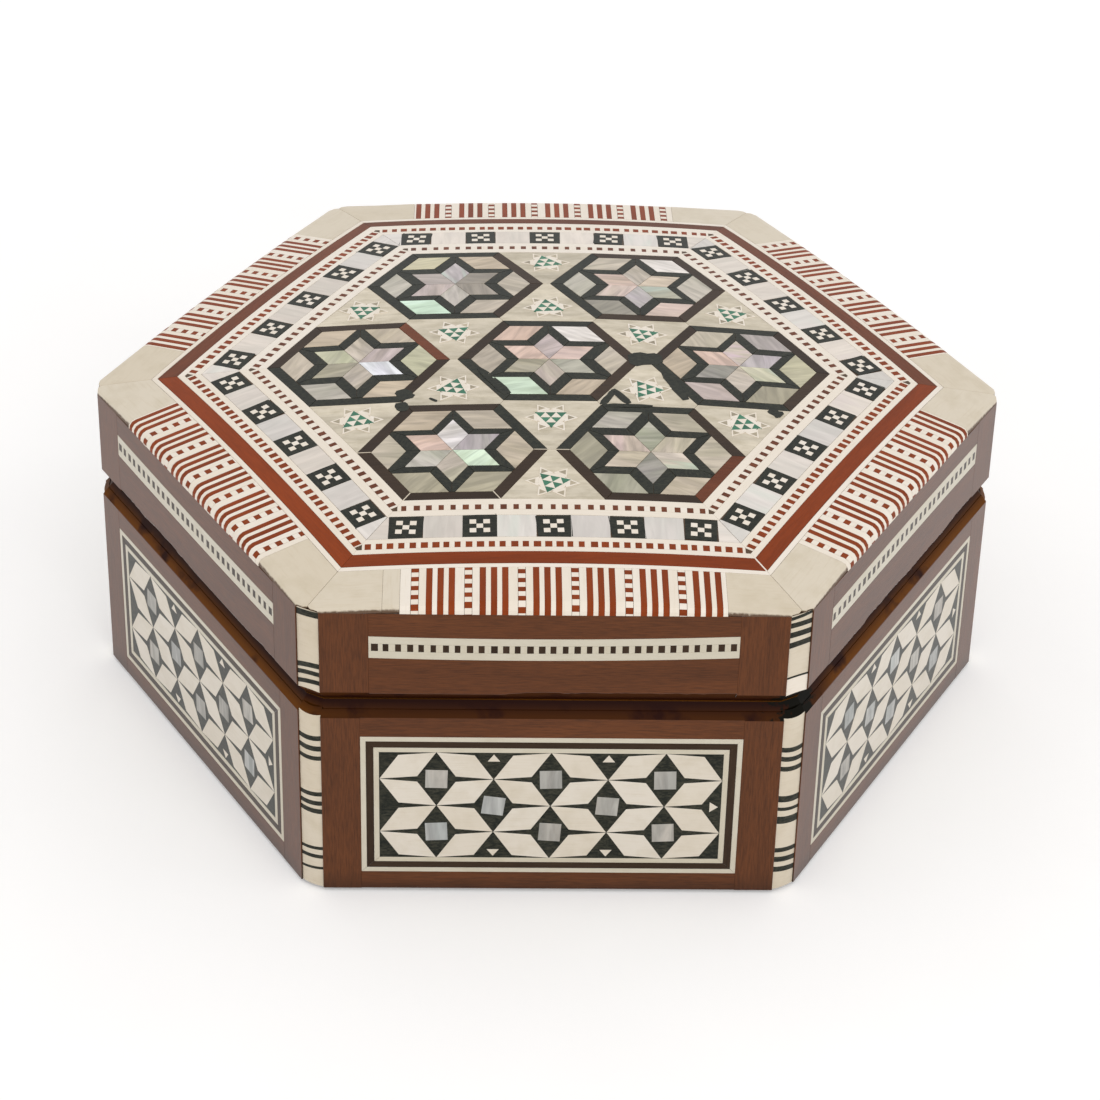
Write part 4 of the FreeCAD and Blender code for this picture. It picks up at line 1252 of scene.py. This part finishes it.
class BOX_OT_star_field(bpy.types.Operator):
    """Lay the seven star hexagons and the triangles between them"""
    bl_idname = "box.star_field"
    bl_label = "Star field"

    def hexagon(self, side, width):
        """Outlines of one star hexagon about the origin: frame, mitre lines, rhombs, black strips and kites.

        Six rhombs with a 60 degree angle at the middle; black strips lie along their outer edges and are cut
        off at the frame, and the kites fill what is left up to the frame's corners. width holds the strips'
        width at each of the six notches, because they are cut by hand.
        """
        turn = SIXTHS
        outer, inner = side * COS30, side * COS30 - sizes().frame_strip
        rhomb = (inner - 2.5 * MM) / (2 * COS30)  # 2.5 mm of black between a star's tip and the frame
        tip, notch = rhomb * 2 * COS30, rhomb + width / COS30
        left = inner / COS30 - notch
        frames = np.stack([rays(outer / COS30, turn), rays(outer / COS30, turn + 60),
                           rays(inner / COS30, turn + 60), rays(inner / COS30, turn)], 1)
        thin = 0.09 * MM
        mitres = all_round(rectangles(inner / COS30, -thin, outer / COS30, thin)[0])
        rhombs = np.stack([rays(0, turn), rays(rhomb, turn), rays(tip, turn + 30), rays(rhomb, turn + 60)], 1)
        after = rays(notch, turn) + rays(left, turn + 60)
        before = rays(notch, turn) + rays(left, turn - 60)
        near, far = rays(rhomb, turn), rays(notch, turn)
        blacks = np.concatenate([
            np.stack([near, far, after, rays(inner, turn + 30), rays(tip, turn + 30)], 1),
            np.stack([near, rays(tip, turn - 30), rays(inner, turn - 30), before, far], 1)])
        kites = np.stack([rays(notch, turn), before, rays(inner / COS30, turn), after], 1)
        return frames, mitres, rhombs, blacks, kites

    def mastic(self):
        """Ragged strokes of black mastic at some joints of the frames: tapered, with an uneven edge."""
        start, end, widths = MASTIC[:, None, :2], MASTIC[:, None, 2:4], MASTIC[:, 4:]
        share = np.linspace(0, 1, 6)
        way = (end - start) / np.linalg.norm(end - start, axis=-1, keepdims=True)
        across = np.stack([-way[..., 1], way[..., 0]], -1)
        chance = np.random.default_rng(118)
        sides = []
        for sign in (-1, 1):
            half = widths[:, :1] + (widths[:, 1:] - widths[:, :1]) * share
            half = half * chance.uniform(0.85, 1.12, half.shape)
            half[:, [0, -1]] *= 0.6
            sides.append(start + (end - start) * share[:, None] + sign * half[..., None] * across)
        return np.concatenate([sides[0], sides[1][:, ::-1]], 1)

    def small_stars(self, middles):
        """In each triangle a white six-pointed star with grey points and a green triangle let into it.

        The green triangle is a three-row grid: six green triangles that point its way, three white between.
        """
        chance = np.random.default_rng(130)
        step = 1.7 * MM
        rise = step * COS30

        def grid(shape, rows):
            """Copies of a triangle in rows, each one shorter than the row below."""
            return np.array([shape + np.array((i * step + r * step / 2, r * rise))
                             for r in range(rows) for i in range(rows - r)]) - (1.5 * step, rise)

        greens = grid([(0, 0), (step, 0), (step / 2, rise)], 3)
        whites = grid([(step, 0), (1.5 * step, rise), (step / 2, rise)], 2)
        points = all_round(np.array([(2.1, -1.25), (4.35, 0), (2.1, 1.25)]) * MM)
        chips = all_round(np.array([(2.7, -0.68), (3.85, 0), (2.7, 0.68)]) * MM)
        hexagon = rays(2.6 * MM, SIXTHS)[None]
        turn = 60 * np.arange(len(middles)) + chance.normal(0, 7, len(middles))
        tilt = turn + 180 + chance.choice([-14, 12, 0, 20], len(middles))
        patches = []
        # material, outlines, angle and how far the face stands above the ground, in mm
        for kind, outlines, angle, lift in ((1, hexagon, turn, 0.006), (1, points, turn, 0.006),
                                            (3, chips, turn, 0.012), (2, greens, tilt, 0.018),
                                            (1, whites, tilt, 0.018)):
            outlines = np.concatenate([spun(outlines, t) + m for t, m in zip(angle, middles)])
            rings = tile(inset(outlines, 0.02 * MM), 0.3 * MM, 0.004 * MM, -lift * MM)
            patches.append(shells(rings, on_crown, 0, kind, seed=131 + kind))
        return patches

    def triangles(self, centres, side):
        """Grounds between the hexagons, six inside and six at the border, with a small star in each."""
        def corner(centre, degrees):
            """Corner of the hexagon about a centre."""
            return centres[centre] + rays(side, degrees)

        inner = np.array([corner(0, 0), corner(1, 180), corner(1, 120),
                          corner(2, 300), corner(2, 240), corner(0, 60)])
        border = np.array([corner(1, 120), corner(1, 60), corner(2, 0), corner(2, 300)])
        patches = [shells(inlaid(all_round(gap)), on_crown, seed=120 + number)
                   for number, gap in enumerate((inner, border))]
        middle = np.mean([corner(1, 60), corner(2, 0), corner(1, 120) * 0.5 + corner(2, 300) * 0.5], 0)
        patches += self.small_stars(np.concatenate([all_round(inner.mean(0)), all_round(middle)]))
        make_piece("triangle_mosaics", patches,
                   [pale_horn, bleached_bone, green_dyed_bone, grey_stained_bone],
                   "lid", ["triangle_grounds"])

    def execute(self, context):
        chance = np.random.default_rng(110)
        lattice = FIELD / COS30 / 3 + sizes().hexagon_gap / 6
        side = FIELD / COS30 - 2 * lattice
        centres = np.concatenate([[(0, 0)], rays(2 * lattice, SIXTHS)])
        widths = sizes().star_outline * chance.uniform(0.8, 1.25, (7, 6))
        stars = [self.hexagon(side, width) for width in widths]
        frames, mitres, rhombs, blacks, kites = (
            np.concatenate([star[i] + centre for star, centre in zip(stars, centres)]) for i in range(5))
        red, black = (np.isin(np.arange(len(frames)), numbers) for numbers in (RED_STRIPS, BLACK_STRIPS))
        strips = inlaid(frames)
        glue_lines = tile(mitres[PALE_MITRES], 0.3 * MM, TIGHT, -TIGHT)
        make_piece("star_frames", [shells(strips[~red & ~black], on_crown, seed=111),
                                   shells(strips[red], on_crown, 0, 1, seed=112),
                                   shells(glue_lines, on_crown, 0, 2, seed=113),
                                   shells(strips[black], on_crown, 0, 3, seed=119)],
                   [dark_brown_wood, rosewood, polished_camel_bone, black_stained_wood],
                   "lid", ["hexagon_frames"])
        for name, outlines, material, slot, node, letters, seed in (
                ("pearl_rhombs", rhombs, star_mother_of_pearl, "mother_of_pearl", "star_rhombs",
                 RHOMB_TINTS, 126),
                ("pearl_kites", kites, kite_mother_of_pearl, "mother_of_pearl", "corner_kites",
                 KITE_TINTS, 125),
                ("black_outlines", blacks, black_stained_wood, "black_wood", "star_outlines", "", 128)):
            grain = chance.uniform(0, 180, len(outlines))
            tint = [linear(PEARL_TINTS[letter]) for letter in letters.replace(" ", "")] or (1, 1, 1, 1)
            patches = [shells(inlaid(outlines), on_crown, grain=grain, seed=seed, tint=tint)]
            if name == "black_outlines":
                strokes = tile(self.mastic(), sizes().inlay, TIGHT, -0.012 * MM)
                patches.append(shells(strokes, on_crown, seed=116))
            make_piece(name, patches, [material], "lid", [node])
        self.triangles(centres, side)
        return {"FINISHED"}


class BOX_OT_linings(bpy.types.Operator):
    """Line the box with velvet and put felt under it"""
    bl_idname = "box.linings"
    bl_label = "Linings"

    def level_cloth(self, name, node, body, slot, surface, material, rests_on):
        """Hexagonal sheet from a few shrinking outlines with a soft rounded edge."""
        low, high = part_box(node)
        flat, thick = -low.y, high.z - low.z
        height = high.z if surface is facing_up else low.z
        corners = rays(flat / COS30, SIXTHS)
        share = np.linspace(0, 1, 12, endpoint=False)[:, None]
        outline = np.concatenate([a + (b - a) * share for a, b in zip(corners, np.roll(corners, -1, 0))])
        outline = outline * min(abs(low.x) / np.abs(outline[:, 0]).max(), 1.0)
        # share of the outline, and of the thickness as depth, from the back to the middle of the face
        levels = ((1.0, 1.0), (1.0, 0.5), (0.995, 0.15), (0.985, 0.0),
                  (0.8, 0.05), (0.6, 0.0), (0.4, 0.06), (0.2, 0.0))
        rings = np.stack([at_depth(outline * size, depth * thick) for size, depth in levels])[None]
        patches = [shells(rings, partial(surface, height=height), seed=140)]
        piece = make_piece(name, patches, [material], body, [node], sharp=60)

    def wall_cloths(self, body, material):
        """Six upright sheets with soft edges, one along each wall."""
        node = f"{body}_wall_linings"
        low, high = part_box(node)
        thick, slack = 0.75 * MM, 0.1 * MM
        distance = -low.y - thick
        half = distance * TAN30 - slack
        rings = tile(rectangles(-half, low.z, half, high.z), thick, 0.3 * MM)
        piece = make_piece(f"{body}_wall_velvet",
                           [six_shells(rings, partial(facing_in, distance=distance), seed=141)],
                           [material], body, [node], sharp=60)

    def execute(self, context):
        self.level_cloth("floor_velvet", "base_floor_lining", "base", "velvet", facing_up, velvet_pile,
                         "base_bottom_board")
        self.level_cloth("ceiling_velvet", "lid_ceiling_lining", "lid", "velvet", facing_down, velvet_pile,
                         "lid_board")
        self.level_cloth("underside_cloth", "underside_felt", "base", "felt", facing_down, pressed_felt,
                         "base_bottom_board")
        for body in ("base", "lid"):
            self.wall_cloths(body, velvet_pile)
        return {"FINISHED"}


class BOX_OT_stage(bpy.types.Operator):
    """Set the floor, the light and the camera"""
    bl_idname = "box.stage"
    bl_label = "Stage"

    def floor(self, scene):
        """Wide sheet a hair below the felt."""
        width, hair = 3.0, -0.02 * MM
        mesh = bpy.data.meshes.new("floor")
        corners = ((-width, -width), (width, -width), (width, width), (-width, width))
        mesh.from_pydata([(x, y, hair) for x, y in corners], [], [(0, 1, 2, 3)])
        dress(mesh, white_paper)
        floor = bpy.data.objects.new("floor", mesh)
        scene.collection.objects.link(floor)

    def light(self, scene):
        """White room that the floor runs into, and one soft box to the right in front."""
        world = bpy.data.worlds.new("white_room")
        world.use_nodes = True
        tree = world.node_tree
        tree.nodes.clear()
        room, view = (add(tree, "Background", {"Color": (1, 1, 1, 1), "Strength": strength})[0]
                      for strength in (0.88, 1.0))
        mixed = add(tree, "MixShader", {0: seen(tree), 1: room, 2: view})[0]
        add(tree, "OutputWorld", {"Surface": mixed})
        scene.world = world
        lamp = bpy.data.lights.new("soft_box", "AREA")
        lamp.shape, lamp.size, lamp.energy = "DISK", 0.9, 2.2
        soft = bpy.data.objects.new("soft_box", lamp)
        stand = Vector((0.33, -0.83, 0.68))
        soft.matrix_world = Matrix.Translation(stand) @ stand.to_track_quat("Z", "Y").to_matrix().to_4x4()
        scene.collection.objects.link(soft)

    def camera(self, scene):
        """Camera fitted to the corners of the lid and base in the photograph."""
        target = Vector((0.91, 0, 21.58)) * MM
        distance = 568.0 * MM
        lift, swing, roll = (math.radians(angle) for angle in (33.23, -1.70, 1.42))
        back = Vector((math.sin(swing) * math.cos(lift), -math.cos(swing) * math.cos(lift), math.sin(lift)))
        right = Vector((math.cos(swing), math.sin(swing), 0))
        up = back.cross(right)
        right, up = right * math.cos(roll) + up * math.sin(roll), up * math.cos(roll) - right * math.sin(roll)
        data = bpy.data.cameras.new("camera")
        data.sensor_width, data.lens = 36.0, 109.57
        data.clip_start, data.clip_end = 0.01, 20
        camera = bpy.data.objects.new("camera", data)
        place = Matrix((right, up, back)).transposed().to_4x4()
        place.translation = target + back * distance
        camera.matrix_world = place
        scene.collection.objects.link(camera)
        scene.camera = camera

    def execute(self, context):
        context.scene.view_settings.view_transform = "Standard"
        self.floor(context.scene)
        self.light(context.scene)
        self.camera(context.scene)
        return {"FINISHED"}


OPERATORS = (BOX_OT_core, BOX_OT_hinges, BOX_OT_veneer, BOX_OT_corner_strips, BOX_OT_panels, BOX_OT_lid_walls,
             BOX_OT_lid_border, BOX_OT_star_field, BOX_OT_linings, BOX_OT_stage)


class BOX_PT_pieces(bpy.types.Panel):
    """Sidebar panel with the box's sizes, colours and pieces"""
    bl_idname = "BOX_PT_pieces"
    bl_label = "Inlaid box"
    bl_space_type = "VIEW_3D"
    bl_region_type = "UI"
    bl_category = "Box"

    def draw(self, context):
        for group in (sizes(), colours()):
            column = self.layout.column()
            for name in group.__annotations__:
                column.prop(group, name)
        for operator in OPERATORS:
            self.layout.operator(operator.bl_idname)


CLASSES = (BOX_PG_sizes, BOX_PG_colours, *OPERATORS, BOX_PT_pieces)


def register():
    """Register the classes and hang the property groups on the scene."""
    for cls in CLASSES:
        bpy.utils.register_class(cls)
    bpy.types.Scene.inlaid_box_sizes = bpy.props.PointerProperty(type=BOX_PG_sizes)
    bpy.types.Scene.inlaid_box_colours = bpy.props.PointerProperty(type=BOX_PG_colours)


def unregister():
    """Take the property groups and classes away again."""
    del bpy.types.Scene.inlaid_box_colours
    del bpy.types.Scene.inlaid_box_sizes
    for cls in reversed(CLASSES):
        bpy.utils.unregister_class(cls)


def main():
    register()
    for operator in OPERATORS:
        group, name = operator.bl_idname.split(".")
        getattr(getattr(bpy.ops, group), name)()


if __name__ == "__main__":
    main()
